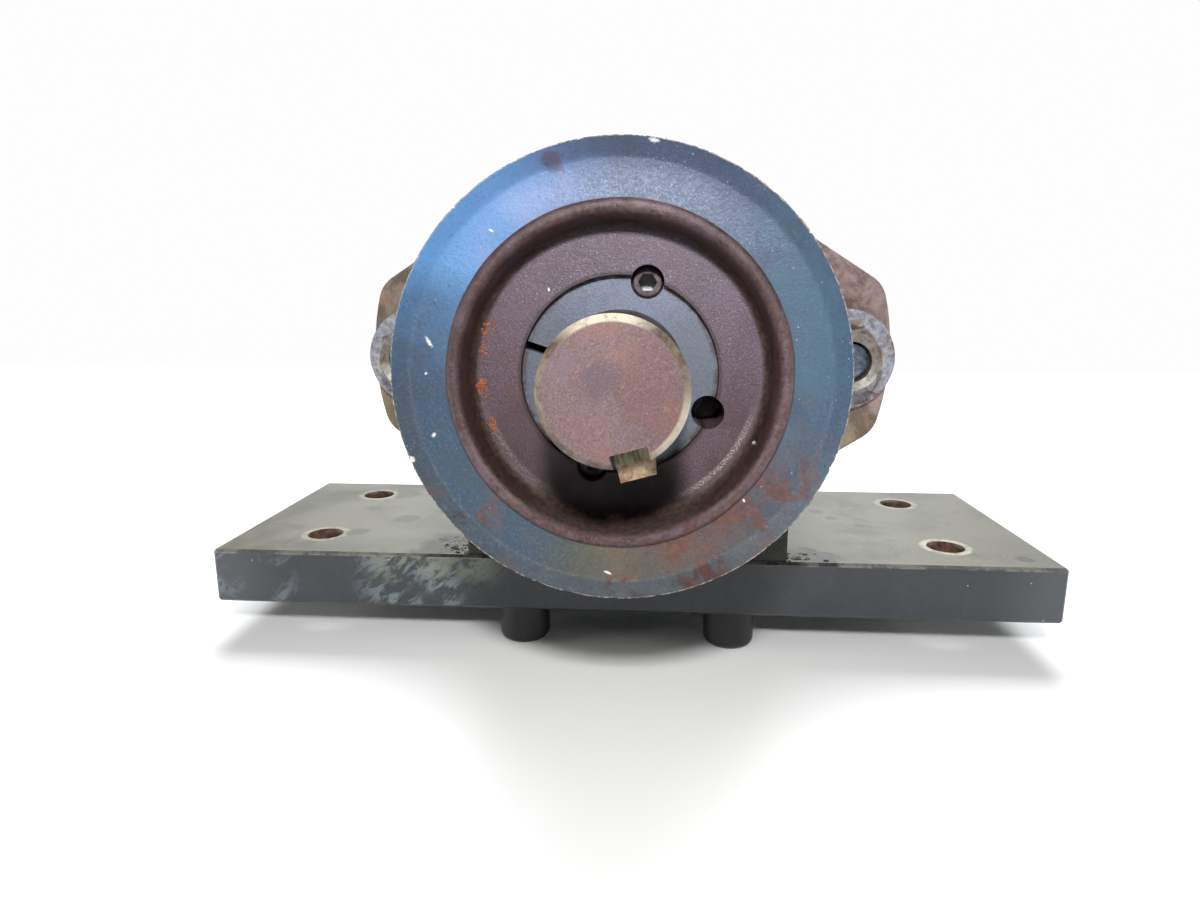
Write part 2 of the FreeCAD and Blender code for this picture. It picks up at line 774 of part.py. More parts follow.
def staked_rim(rim_end, outward):
    """The lip of the rim rolled over a flange ring, as a round bead outside rim_end."""
    inner = Vector(0, rim_end, axis_height + bead_inner_radius)
    crest = Vector(0, rim_end + outward * bead_height, axis_height + bead_crest_radius)
    outer = Vector(0, rim_end, axis_height + bead_radius)
    wire = Part.Wire([arc_edge(inner, crest, outer), Part.LineSegment(outer, inner).toShape()])
    return Part.Face(wire).revolve(Vector(0, 0, axis_height), along_y, 360)


def belt_pulley():
    """Hub, recessed web, rim with belt teeth, and a rolled bead at each end."""
    face = front - rim_reach
    back = face + rim_width
    web_front = front - web_reach
    web_back = front - web_rear_reach
    band = toothed_band(face + ring_thick, back - ring_thick)
    ends = rod(ring_seat_radius, face, back)
    pulley = band.fuse(ends)
    pulley = pulley.fuse(staked_rim(face, -1)).fuse(staked_rim(back, 1))
    start, end = face - bead_height - cut_overrun, back + bead_height + cut_overrun
    recess = turned([(start, 0), (start, bead_inner_radius), (face, bead_inner_radius),
                     (web_front, rim_inner_radius), (web_front, 0)])
    recess = recess.makeFillet(web_fillet, circles_on_plane(recess, web_front))
    rear_recess = turned([(web_back, 0), (web_back, rear_recess_radius),
                          (back, bead_inner_radius), (end, bead_inner_radius), (end, 0)])
    pulley = pulley.cut(recess).cut(rear_recess)
    pulley = pulley.cut(bush_cone(taper_gap, web_front - cut_overrun, web_back + cut_overrun))
    return pulley.cut(Part.makeCompound(bush_holes(web_reach - bush_reach + cut_overrun)))


def flange_ring(face, outward):
    """A pressed ring: flat where it is staked, and flared away from the belt outside the teeth."""
    back = face - outward * ring_thick
    tip = face + outward * ring_flare
    seat = ring_seat_radius + seat_gap
    under_bead = face - outward * staking_gap
    return turned([(back, seat), (under_bead, seat), (under_bead, bead_radius), (face, bead_radius),
                   (face, ring_bend_radius), (tip, ring_outer_radius - ring_lip_break),
                   (tip - outward * ring_lip_break, ring_outer_radius),
                   (tip - outward * ring_thick, ring_outer_radius), (back, ring_bend_radius)])


def shaft_seal():
    """A lip seal: outer case, web, and a lip that runs round the shaft."""
    y0, y1 = pilot_front, pilot_front + seal_width
    lip = shaft_radius + running_gap
    nose = lip + seal_nose_gap
    lip_back = lip + seal_lip_thick
    case = seal_radius - seal_case_thick
    web = y0 + seal_web_thick
    return turned([(y0, seal_radius), (y0, nose), (y0 + seal_nose_depth, nose), (y0 + seal_lip_start, lip),
                   (y0 + seal_lip_end, lip), (y1 - seal_lip_setback, lip_back),
                   (web, lip_back + seal_lip_setback), (web, case), (y1, case), (y1, seal_radius)])


def snap_ring(inner, outer, y0, y1, gap_angle):
    """A retaining ring with an open gap."""
    ring = tube(outer, inner, y0, y1)
    half = snap_ring_gap / 2
    gap = box(-half, half, y0 - cut_overrun, y1 + cut_overrun,
              axis_height, axis_height + outer + cut_overrun)
    return ring.cut(spin(gap, 90 - gap_angle))


def bearing_race_groove():
    return Part.makeTorus(bearing_pitch, bearing_ball_radius + bearing_race_gap,
                          Vector(0, bearing_middle, axis_height), along_y)


def bearing_rings():
    groove = bearing_race_groove()
    inner = tube(bearing_inner_land, shaft_radius + seat_gap, bearing_front, bearing_back).cut(groove)
    outer = tube(bearing_outer, bearing_outer_land, bearing_front, bearing_back).cut(groove)
    return inner, outer


def bearing_balls():
    balls = []
    for i in range(bearing_ball_count):
        centre = polar(bearing_pitch, 360.0 * i / bearing_ball_count, bearing_middle)
        balls.append(Part.makeSphere(bearing_ball_radius, centre))
    return balls


def bearing_cage():
    y0, y1 = bearing_middle - cage_width / 2, bearing_middle + cage_width / 2
    cage = tube(bearing_pitch + cage_half_thick, bearing_pitch - cage_half_thick, y0, y1)
    axis_point = Vector(0, bearing_middle, axis_height)
    for i in range(bearing_ball_count):
        centre = polar(bearing_pitch, 360.0 * i / bearing_ball_count, bearing_middle)
        length = bearing_pitch + cage_half_thick + cut_overrun
        pocket = Part.makeCylinder(bearing_ball_radius + cage_pocket_gap, length, axis_point,
                                   centre.sub(axis_point))
        cage = cage.cut(pocket)
    return cage


def dowels():
    pins = []
    for y in (housing_front, housing_back):
        for x, z in dowel_places():
            pins.append(rod(dowel_radius, y - dowel_half_length, y + dowel_half_length, x, z))
    return pins


def nodes():
    """Every piece of the assembly under the name of its node."""
    inner_race, outer_race = bearing_rings()
    rim_back = front - rim_reach + rim_width
    bearing_ring_y0 = bearing_front - snap_ring_width
    left, right = ear_places()
    return {
        "base_plate": [base_plate()],
        "upright_bracket": [upright_bracket()],
        "foot_screws": [foot_screw(x, y) for x, y in foot_screw_places()],
        "ear_bolts": [ear_bolt(x, z) for x, z in ear_places()],
        "ear_washers": [tube(washer_radius, ear_bolt_radius + bolt_clearance, front - washer_thick,
                             front, x, z) for x, z in ear_places()],
        "ear_nuts": [ear_nut(*left, left_nut_turn), ear_nut(*right, right_nut_turn)],
        "front_cover": [front_cover()],
        "gear_housing": [gear_housing()],
        "rear_cover": [rear_cover()],
        "through_bolts": [through_bolt(x, z) for x, z in through_bolt_places()],
        "dowel_pins": dowels(),
        "body_seals": [body_seal(housing_front, housing_front + body_seal_depth - end_gap),
                       body_seal(housing_back - body_seal_depth + end_gap, housing_back)],
        "drain_plug": [drain_plug()],
        "drive_gear": [drive_gear()],
        "idler_gear": [idler_gear()],
        "front_bearing_block": [bearing_block(housing_front, gear_front)],
        "rear_bearing_block": [bearing_block(gear_back, housing_back)],
        "front_journal_bushes": bush_liners(housing_front, gear_front),
        "rear_journal_bushes": bush_liners(gear_back, housing_back),
        "output_shaft": [shaft()],
        "shaft_key": [shaft_key()],
        "shaft_seal": [shaft_seal()],
        "bearing_snap_ring": [snap_ring(bearing_outer - snap_ring_land,
                                        bearing_outer + snap_ring_depth - seat_gap,
                                        bearing_ring_y0, bearing_front,
                                        cover_ring_gap_angle)],
        "shaft_snap_ring": [snap_ring(shaft_radius - shaft_ring_depth + seat_gap,
                                      shaft_radius + shaft_ring_land,
                                      bearing_front - shaft_ring_width + seat_gap, bearing_front,
                                      shaft_ring_gap_angle)],
        "bearing_outer_race": [outer_race],
        "bearing_inner_race": [inner_race],
        "bearing_balls": bearing_balls(),
        "bearing_cage": [bearing_cage()],
        "taper_bush": [taper_bush()],
        "bush_set_screws": [bush_screw(angle) for angle in bush_screw_angles],
        "belt_pulley": [belt_pulley()],
        "front_pulley_flange": [flange_ring(front - rim_reach, -1)],
        "rear_pulley_flange": [flange_ring(rim_back, 1)],
    }


def main():
    os.makedirs("parts", exist_ok=True)
    for name, solids in nodes().items():
        shape = solids[0] if len(solids) == 1 else Part.makeCompound(solids)
        print(name, len(shape.Solids), "valid" if shape.isValid() else "INVALID",
              round(shape.Volume, 1), len(shape.Faces))
        shape.exportStep("parts/" + name + ".step")


main()
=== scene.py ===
"""Looks of the hydraulic gear motor: worn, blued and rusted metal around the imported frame."""
import json
import math
import random

import bmesh
import bpy
from mathutils import Matrix, Vector, noise


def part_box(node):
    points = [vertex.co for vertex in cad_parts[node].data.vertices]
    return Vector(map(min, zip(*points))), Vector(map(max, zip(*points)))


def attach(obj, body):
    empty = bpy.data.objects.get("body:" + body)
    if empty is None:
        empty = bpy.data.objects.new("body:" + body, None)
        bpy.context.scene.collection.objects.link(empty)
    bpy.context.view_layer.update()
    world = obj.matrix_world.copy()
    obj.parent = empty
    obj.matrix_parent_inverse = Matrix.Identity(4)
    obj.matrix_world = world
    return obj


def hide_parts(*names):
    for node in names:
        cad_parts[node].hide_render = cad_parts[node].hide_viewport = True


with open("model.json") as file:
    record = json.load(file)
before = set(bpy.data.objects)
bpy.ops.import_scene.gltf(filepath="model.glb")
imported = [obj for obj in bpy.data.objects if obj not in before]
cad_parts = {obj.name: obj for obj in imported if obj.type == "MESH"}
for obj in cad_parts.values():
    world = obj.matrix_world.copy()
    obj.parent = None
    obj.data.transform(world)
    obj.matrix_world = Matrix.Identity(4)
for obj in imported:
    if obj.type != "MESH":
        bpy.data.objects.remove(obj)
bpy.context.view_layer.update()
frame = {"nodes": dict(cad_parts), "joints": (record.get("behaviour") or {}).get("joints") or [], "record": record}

record = frame["record"]
nodes = frame["nodes"]


def joint_place(name):
    """Where a joint's axis passes, in metres."""
    return next(Vector(j["pos_m"]) for j in frame["joints"] if j["name"] == name)


# Places worked out from the frame, in metres
axis_z = joint_place("shaft_spin").z
plate_low, plate_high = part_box("base_plate")
front_y = plate_low.y
plate_top = plate_high.z
base_holes = record["mounts"][0]["dims"]
hole_x = base_holes["spacing_x_mm"] / 2000
hole_y = base_holes["spacing_y_mm"] / 2000
floor_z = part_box("foot_screws")[0].z
ring_low, ring_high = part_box("front_pulley_flange")
rim_radius = (ring_high.x - ring_low.x) / 2
shaft_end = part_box("output_shaft")[0].y
screw_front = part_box("bush_set_screws")[0].y
washer_low, washer_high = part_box("ear_washers")
ear_bolt_x = washer_high.x - (washer_high.z - washer_low.z) / 2
pulley_low, pulley_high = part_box("belt_pulley")
tooth_radius = (pulley_high.x - pulley_low.x) / 2

# Sizes inside those boxes, in metres; an edge is a radius from the shaft line
ring_thick = 0.0013         # sheet of the two flange rings
ring_seat = 0.03205         # hole in the rings
lip_width = 0.0036          # the bent lip of the rings, from the rim inwards
nut_corner = 0.0082         # reach of an ear nut's corners
leg_half_width = 0.0425     # the upright's leg where it meets the plate
hole_wear = 0.0115          # reach of the wear round the plate's holes
web_behind_ring = 0.0043    # from the front ring's rear face to the web
fillet_radius = 0.0022      # between the web and the wall of the recess
flake_radius = 0.0270       # where the orange rust has gathered
chamfer_edge = 0.0112       # inner edge of the shaft's chamfer
bush_edge = 0.0180          # where the bush's face turns brown
seam_edge = 0.0200          # dark seam between bush and hub
web_edge = 0.0267           # painted highlight line where the web starts to curve up
wall_edge = 0.0272          # where the recess wall's dark colour starts, deepened as painted shade
bead_edge = 0.0286          # where the bead's colour starts

# Camera, fitted to the photograph: place in metres, angles in degrees
camera_place = Vector((0.00623, front_y - 0.19071, 0.08398))
camera_yaw = -3.897
camera_pitch = 11.594
camera_lens = 22.58

# Edges of the floor and the lamps: place, target, size, watts, colour
floor_front = -0.225
floor_back = 0.75
floor_side = 1.0
warm_white = (1.0, 0.97, 0.90)
lamps = {
    "key": ((0.010, -0.315, 0.208), (0, -0.07, 0.055), 0.030, 1.10, (1.0, 0.985, 0.96)),
    "left": ((-0.9, -0.22, 0.07), (-0.08, -0.04, 0.0), 0.4, 5.0, warm_white),
    "right": ((0.9, -0.22, 0.07), (0.08, -0.04, 0.0), 0.4, 3.5, warm_white),
    "back": ((0.0, 1.1, 1.32), (0, 0.28, 0), 1.6, 60.0, (1.0, 1.0, 0.99)),
}


def srgb(r, g, b):
    """A colour written as it looks, 0 to 255, as linear light."""
    def linear(c):
        c /= 255.0
        return c / 12.92 if c <= 0.04045 else ((c + 0.055) / 1.055) ** 2.4
    return (linear(r), linear(g), linear(b), 1.0)


def share(degrees):
    """An angle as a share of a turn."""
    return (degrees % 360.0) / 360.0


class Shade:
    """A material under construction: every method adds nodes and returns an output socket."""

    def __init__(self, name, rough=0.5, metallic=0.0, specular=0.5):
        self.material = bpy.data.materials.new(name)
        self.material.use_nodes = True
        self.tree = self.material.node_tree
        self.bsdf = self.tree.nodes["Principled BSDF"]
        self.bsdf.inputs["Roughness"].default_value = rough
        self.bsdf.inputs["Metallic"].default_value = metallic
        self.bsdf.inputs["Specular IOR Level"].default_value = specular
        self.coords = self.node("ShaderNodeTexCoord").outputs["Object"]

    def node(self, kind, **settings):
        made = self.tree.nodes.new(kind)
        for key, value in settings.items():
            setattr(made, key, value)
        return made

    def put(self, socket_highlight, value):
        if isinstance(value, bpy.types.NodeSocket):
            self.tree.links.new(value, socket_highlight)
        else:
            socket_highlight.default_value = value

    def math(self, op, a, b=0.0):
        n = self.node("ShaderNodeMath", operation=op)
        self.put(n.inputs[0], a)
        self.put(n.inputs[1], b)
        return n.outputs[0]

    def noise(self, scale, detail=4.0, rough=0.55, warp=0.0, where=None):
        n = self.node("ShaderNodeTexNoise")
        self.put(n.inputs["Vector"], where or self.coords)
        n.inputs["Scale"].default_value = scale
        n.inputs["Detail"].default_value = detail
        n.inputs["Roughness"].default_value = rough
        n.inputs["Distortion"].default_value = warp
        return n.outputs["Fac"]

    def cells(self, scale):
        """Distance to the nearest of many scattered points, in shares of their spacing."""
        n = self.node("ShaderNodeTexVoronoi")
        self.put(n.inputs["Vector"], self.coords)
        n.inputs["Scale"].default_value = scale
        return n.outputs["Distance"]

    def shift(self, x=0.0, x_scale=1.0):
        """Coordinates moved or scaled along X."""
        n = self.node("ShaderNodeMapping")
        self.put(n.inputs["Vector"], self.coords)
        n.inputs["Location"].default_value = (x, 0.0, 0.0)
        n.inputs["Scale"].default_value = (x_scale, 1.0, 1.0)
        return n.outputs[0]

    def grain(self, lean, stretch):
        """Coordinates drawn out along a line that leans by some degrees in the front plane."""
        n = self.node("ShaderNodeMapping", vector_type="TEXTURE")
        self.put(n.inputs["Vector"], self.coords)
        n.inputs["Rotation"].default_value = (0.0, math.radians(lean), 0.0)
        n.inputs["Scale"].default_value = (1.0, 1.0, stretch)
        return n.outputs[0]

    def turned(self, radius, y):
        """Coordinates that vary only with radius and length, for tool rings."""
        rings_per_metre = 5200.0
        n = self.node("ShaderNodeCombineXYZ")
        self.put(n.inputs[0], self.mul(radius, rings_per_metre))
        self.put(n.inputs[1], self.mul(y, rings_per_metre))
        return n.outputs[0]

    def ramp(self, value, stops):
        """A colour ramp: stops are (place, colour) pairs."""
        n = self.node("ShaderNodeValToRGB")
        points = n.color_ramp.elements
        while len(points) < len(stops):
            points.new(0.5)
        for point, (place, colour) in zip(points, stops):
            point.position = place
            point.color = colour
        self.put(n.inputs[0], value)
        return n.outputs[0]

    def step(self, value, low, high):
        """0 below low, 1 above high, smooth between; falls instead if low is above high."""
        n = self.node("ShaderNodeMapRange", interpolation_type="SMOOTHSTEP")
        self.put(n.inputs["Value"], value)
        n.inputs["From Min"].default_value = min(low, high)
        n.inputs["From Max"].default_value = max(low, high)
        n.inputs["To Min"].default_value = 0.0 if low < high else 1.0
        n.inputs["To Max"].default_value = 1.0 if low < high else 0.0
        return n.outputs[0]

    def mix(self, amount, a, b, blend="MIX"):
        """A mix of two colours: inputs 6 and 7 and output 2 are the node's colour sockets."""
        n = self.node("ShaderNodeMix", data_type="RGBA", blend_type=blend)
        self.put(n.inputs["Factor"], amount)
        self.put(n.inputs[6], a)
        self.put(n.inputs[7], b)
        return n.outputs[2]

    def mul(self, *values):
        out = values[0]
        for v in values[1:]:
            out = self.math("MULTIPLY", out, v)
        return out

    def add(self, a, b):
        return self.math("ADD", a, b)

    def swing(self, value, depth):
        """A noise moved to swing about 0, times a depth."""
        return self.mul(self.math("SUBTRACT", value, 0.5), depth)

    def either(self, *values):
        """The largest of several masks."""
        out = values[0]
        for v in values[1:]:
            out = self.math("MAXIMUM", out, v)
        return out

    def split(self):
        n = self.node("ShaderNodeSeparateXYZ")
        self.put(n.inputs[0], self.coords)
        return n.outputs

    def polar(self, centre_x, centre_z):
        """Radius in metres and angle from 0 to 1, anticlockwise from +X as seen from the front."""
        x, _, z = self.split()
        dx = self.math("SUBTRACT", x, centre_x)
        dz = self.math("SUBTRACT", z, centre_z)
        radius = self.math("SQRT", self.add(self.mul(dx, dx), self.mul(dz, dz)))
        angle = self.math("ARCTAN2", dz, dx)
        turn = self.math("FRACT", self.add(self.math("DIVIDE", angle, 2 * math.pi), 1.0))
        return radius, turn

    def around(self, turn, degrees, near, far):
        """1 within near degrees of a direction round the shaft, fading to 0 at far degrees."""
        away = self.math("FRACT", self.add(self.math("SUBTRACT", turn, share(degrees)), 1.5))
        away = self.math("ABSOLUTE", self.math("SUBTRACT", away, 0.5))
        return self.step(away, share(far), share(near))

    def nick(self, x, z, length, width, lean):
        """A small ragged scratch on a face that looks forward, at x and z from the shaft line."""
        n = self.node("ShaderNodeMapping", vector_type="TEXTURE")
        self.put(n.inputs["Vector"], self.coords)
        n.inputs["Location"].default_value = (x, 0.0, axis_z + z)
        n.inputs["Rotation"].default_value = (0.0, math.radians(lean), 0.0)
        n.inputs["Scale"].default_value = (length, 1000.0, width)
        size = self.node("ShaderNodeVectorMath", operation="LENGTH")
        self.put(size.inputs[0], n.outputs[0])
        ragged = self.add(size.outputs["Value"], self.mul(self.noise(4200, 4, 0.75), 2.4))
        return self.step(ragged, 1.95, 1.65)

    def spot(self, x, y, z, size):
        """1 at a place, fading to 0 at size metres away."""
        n = self.node("ShaderNodeVectorMath", operation="DISTANCE")
        self.put(n.inputs[0], self.coords)
        n.inputs[1].default_value = (x, y, z)
        return self.step(n.outputs["Value"], size, 0.0)

    def facing(self, axis):
        """How far a face looks along an axis of the object, from -1 to 1."""
        geometry = self.node("ShaderNodeNewGeometry")
        turn = self.node("ShaderNodeVectorTransform", vector_type="NORMAL",
                         convert_from="WORLD", convert_to="OBJECT")
        self.put(turn.inputs[0], geometry.outputs["Normal"])
        n = self.node("ShaderNodeSeparateXYZ")
        self.put(n.inputs[0], turn.outputs[0])
        return n.outputs["XYZ".index(axis)]

    def bump(self, height, distance, strength=1.0):
        n = self.node("ShaderNodeBump")
        n.inputs["Strength"].default_value = strength
        n.inputs["Distance"].default_value = distance
        self.put(n.inputs["Height"], height)
        return n.outputs[0]

    def finish(self, colour, rough, normal):
        self.put(self.bsdf.inputs["Base Color"], colour)
        self.put(self.bsdf.inputs["Roughness"], rough)
        self.put(self.bsdf.inputs["Normal"], normal)
        return self.material


def coat(obj, material):
    """Give a frame node or a new piece one material."""
    obj.data.materials.clear()
    obj.data.materials.append(material)


# Materials: colours from 0 to 255, places and radii in metres, directions in degrees
def blued_flange():
    """Blued steel: brighter blue at the upper left from a painted sheen, greyer on the right, rust at the lower
    right.
    """
    s = Shade("blued_flange", rough=0.42, metallic=0.1)
    radius, turn = s.polar(0.0, axis_z)
    warp = s.swing(s.noise(40, 4, 0.6), 0.12)
    bent = s.math("FRACT", s.add(s.add(turn, warp), 1.0))
    # Painted sheen: the bright sky-blue stops from 106 to 162 degrees stand for a reflection on the upper left.
    base = s.ramp(bent, [
        (0.0, srgb(74, 98, 120)), (share(20), srgb(78, 102, 126)),
        (share(45), srgb(80, 95, 118)), (share(70), srgb(70, 82, 104)),
        (share(90), srgb(74, 86, 110)), (share(106), srgb(100, 128, 166)),
        (share(122), srgb(112, 162, 210)), (share(146), srgb(106, 164, 214)),
        (share(162), srgb(80, 122, 160)), (share(182), srgb(54, 75, 97)),
        (share(212), srgb(50, 72, 92)), (share(240), srgb(52, 69, 83)),
        (share(256), srgb(66, 70, 66)), (share(268), srgb(94, 84, 58)),
        (share(280), srgb(84, 74, 60)), (share(306), srgb(74, 66, 66)),
        (share(332), srgb(62, 76, 94)), (1.0, srgb(72, 96, 118))])
    lower = s.around(turn, 250, 40, 80)
    outer = s.step(radius, rim_radius - lip_width, rim_radius - lip_width + 0.0010)
    base = s.mix(s.mul(outer, lower, 0.8), base, srgb(54, 66, 76))
    base = s.mix(s.mul(outer, s.around(turn, 62, 34, 56), 0.6), base, srgb(88, 102, 122))
    mottle = s.noise(1700, 6, 0.75)
    base = s.mix(s.mul(s.step(mottle, 0.48, 0.72), 0.30), base, srgb(120, 140, 164))
    base = s.mix(s.mul(s.step(mottle, 0.50, 0.32), 0.34), base, srgb(40, 50, 64))
    clouds = s.step(s.noise(60, 5, 0.6, 0.4), 0.46, 0.70)
    base = s.mix(s.mul(clouds, s.around(turn, 290, 100, 150), 0.30), base, srgb(84, 86, 90))
    lower_dark = s.mul(s.around(turn, 240, 60, 110), s.step(s.noise(130, 6, 0.7), 0.44, 0.62))
    base = s.mix(s.mul(lower_dark, 0.35), base, srgb(56, 64, 72))
    brown = s.step(s.noise(140, 6, 0.7, 0.6), 0.55, 0.66)
    base = s.mix(s.mul(brown, s.around(turn, 270, 70, 120), 0.45), base, srgb(98, 74, 62))
    glare = s.mul(s.around(turn, 86, 14, 52), s.step(radius, 0.0405, 0.0330))
    glint = s.step(s.noise(2600, 4, 0.8), 0.46, 0.60)
    base = s.mix(s.mul(glare, glint, 0.55), base, srgb(188, 198, 216))
    base = s.mix(s.mul(glare, 0.30), base, srgb(140, 154, 180))
    # Painted highlight: fine white specks where the glare streaks towards the upper right.
    glare_specks = s.mul(s.around(turn, 50, 14, 48), s.step(s.noise(110, 3), 0.46, 0.64))
    glare_specks = s.mul(glare_specks, s.step(s.noise(3000, 4, 0.8), 0.57, 0.64))
    base = s.mix(s.mul(glare_specks, 0.8), base, srgb(184, 198, 216))
    # Painted sheen: a broad lilac-blue reflection on the upper left.
    lilac_sheen = s.mul(s.around(turn, 118, 14, 34), s.step(radius, 0.0420, 0.0345))
    lilac_sheen = s.mul(lilac_sheen, s.step(s.noise(90, 5, 0.6), 0.36, 0.62))
    base = s.mix(s.mul(lilac_sheen, 0.45), base, srgb(168, 178, 214))
    patches = s.noise(120, 9, 0.74, 0.35, s.grain(-52, 1.7))
    big = s.mul(s.around(turn, 310, 18, 40), s.step(patches, 0.49, 0.57))
    small = s.mul(s.around(turn, 222, 8, 22), s.step(patches, 0.555, 0.60))
    low = s.mul(s.around(turn, 284, 10, 24), s.step(s.noise(210, 8, 0.7), 0.55, 0.60))
    top = s.spot(-0.0118, ring_low.y, axis_z + 0.0385, 0.0042)
    top = s.step(s.add(top, s.swing(patches, 3.0)), 0.42, 0.72)
    rust = s.either(big, small, low, s.mul(top, 0.75))
    rust_colour = s.ramp(s.noise(520, 6, 0.7), [
        (0.30, srgb(60, 40, 38)), (0.5, srgb(96, 54, 45)), (0.7, srgb(118, 80, 70))])
    base = s.mix(s.mul(rust, 0.72), base, rust_colour)
    base = s.mix(s.around(turn, 84, 50, 120), base, srgb(192, 198, 212), "MULTIPLY")
    low_lip = s.mul(outer, lower)
    base = s.mix(low_lip, base, srgb(212, 216, 222), "MULTIPLY")
    teal = s.mul(s.around(turn, 8, 26, 60), s.step(s.noise(70, 6, 0.7, 0.4), 0.46, 0.62))
    base = s.mix(s.mul(teal, 0.45), base, srgb(58, 96, 112))
    ashen = s.mul(s.around(turn, 30, 60, 110), s.step(s.noise(95, 7, 0.75, 0.5), 0.50, 0.66))
    base = s.mix(s.mul(ashen, 0.50), base, srgb(52, 60, 74))
    pits = s.mul(s.step(s.cells(520), 0.15, 0.05), s.step(s.noise(60, 3), 0.46, 0.60))
    base = s.mix(s.mul(pits, 0.7), base, srgb(48, 40, 42))
    dots = s.mul(s.step(s.cells(930), 0.17, 0.07), s.step(s.noise(170, 5, 0.7), 0.53, 0.62))
    dotted = s.either(s.around(turn, 22, 50, 90), s.mul(s.around(turn, 190, 30, 60), 0.5))
    dots = s.mul(dots, dotted)
    base = s.mix(s.mul(dots, 0.6), base, srgb(182, 198, 212))
    nick_places = (
        (-0.0357, 0.0069, 0.0016, 0.00050, 60), (-0.0355, -0.0110, 0.0008, 0.00050, -60),
        (-0.0365, 0.0009, 0.0004, 0.00035, 0), (-0.0232, 0.0270, 0.0007, 0.00030, 20),
        (0.0242, -0.0230, 0.0006, 0.00034, 70), (-0.0018, -0.0382, 0.0012, 0.00040, 24),
        (0.0062, 0.0418, 0.0013, 0.00050, 5), (-0.0395, -0.0155, 0.0010, 0.00060, 60))
    nicks = s.either(*(s.nick(*place) for place in nick_places))
    base = s.mix(s.mul(nicks, 0.9), base, srgb(214, 216, 214))
    edge = s.step(radius, rim_radius - 0.0004, rim_radius - 0.0002)
    chips = s.mul(edge, s.step(s.noise(900, 6, 0.8), 0.44, 0.56), 0.75)
    base = s.mix(chips, base, s.mix(s.noise(600, 2), srgb(196, 186, 172), srgb(150, 118, 96)))
    height = s.add(s.noise(1100, 5, 0.75), s.mul(mottle, 0.7))
    height = s.add(height, s.mul(rust, 0.4))
    rough = s.add(s.mul(s.noise(260, 5), 0.25), s.add(0.30, s.mul(rust, 0.3)))
    rough = s.add(rough, s.mul(low_lip, 0.22))
    return s.finish(base, rough, s.bump(height, 0.00010, 1.0))


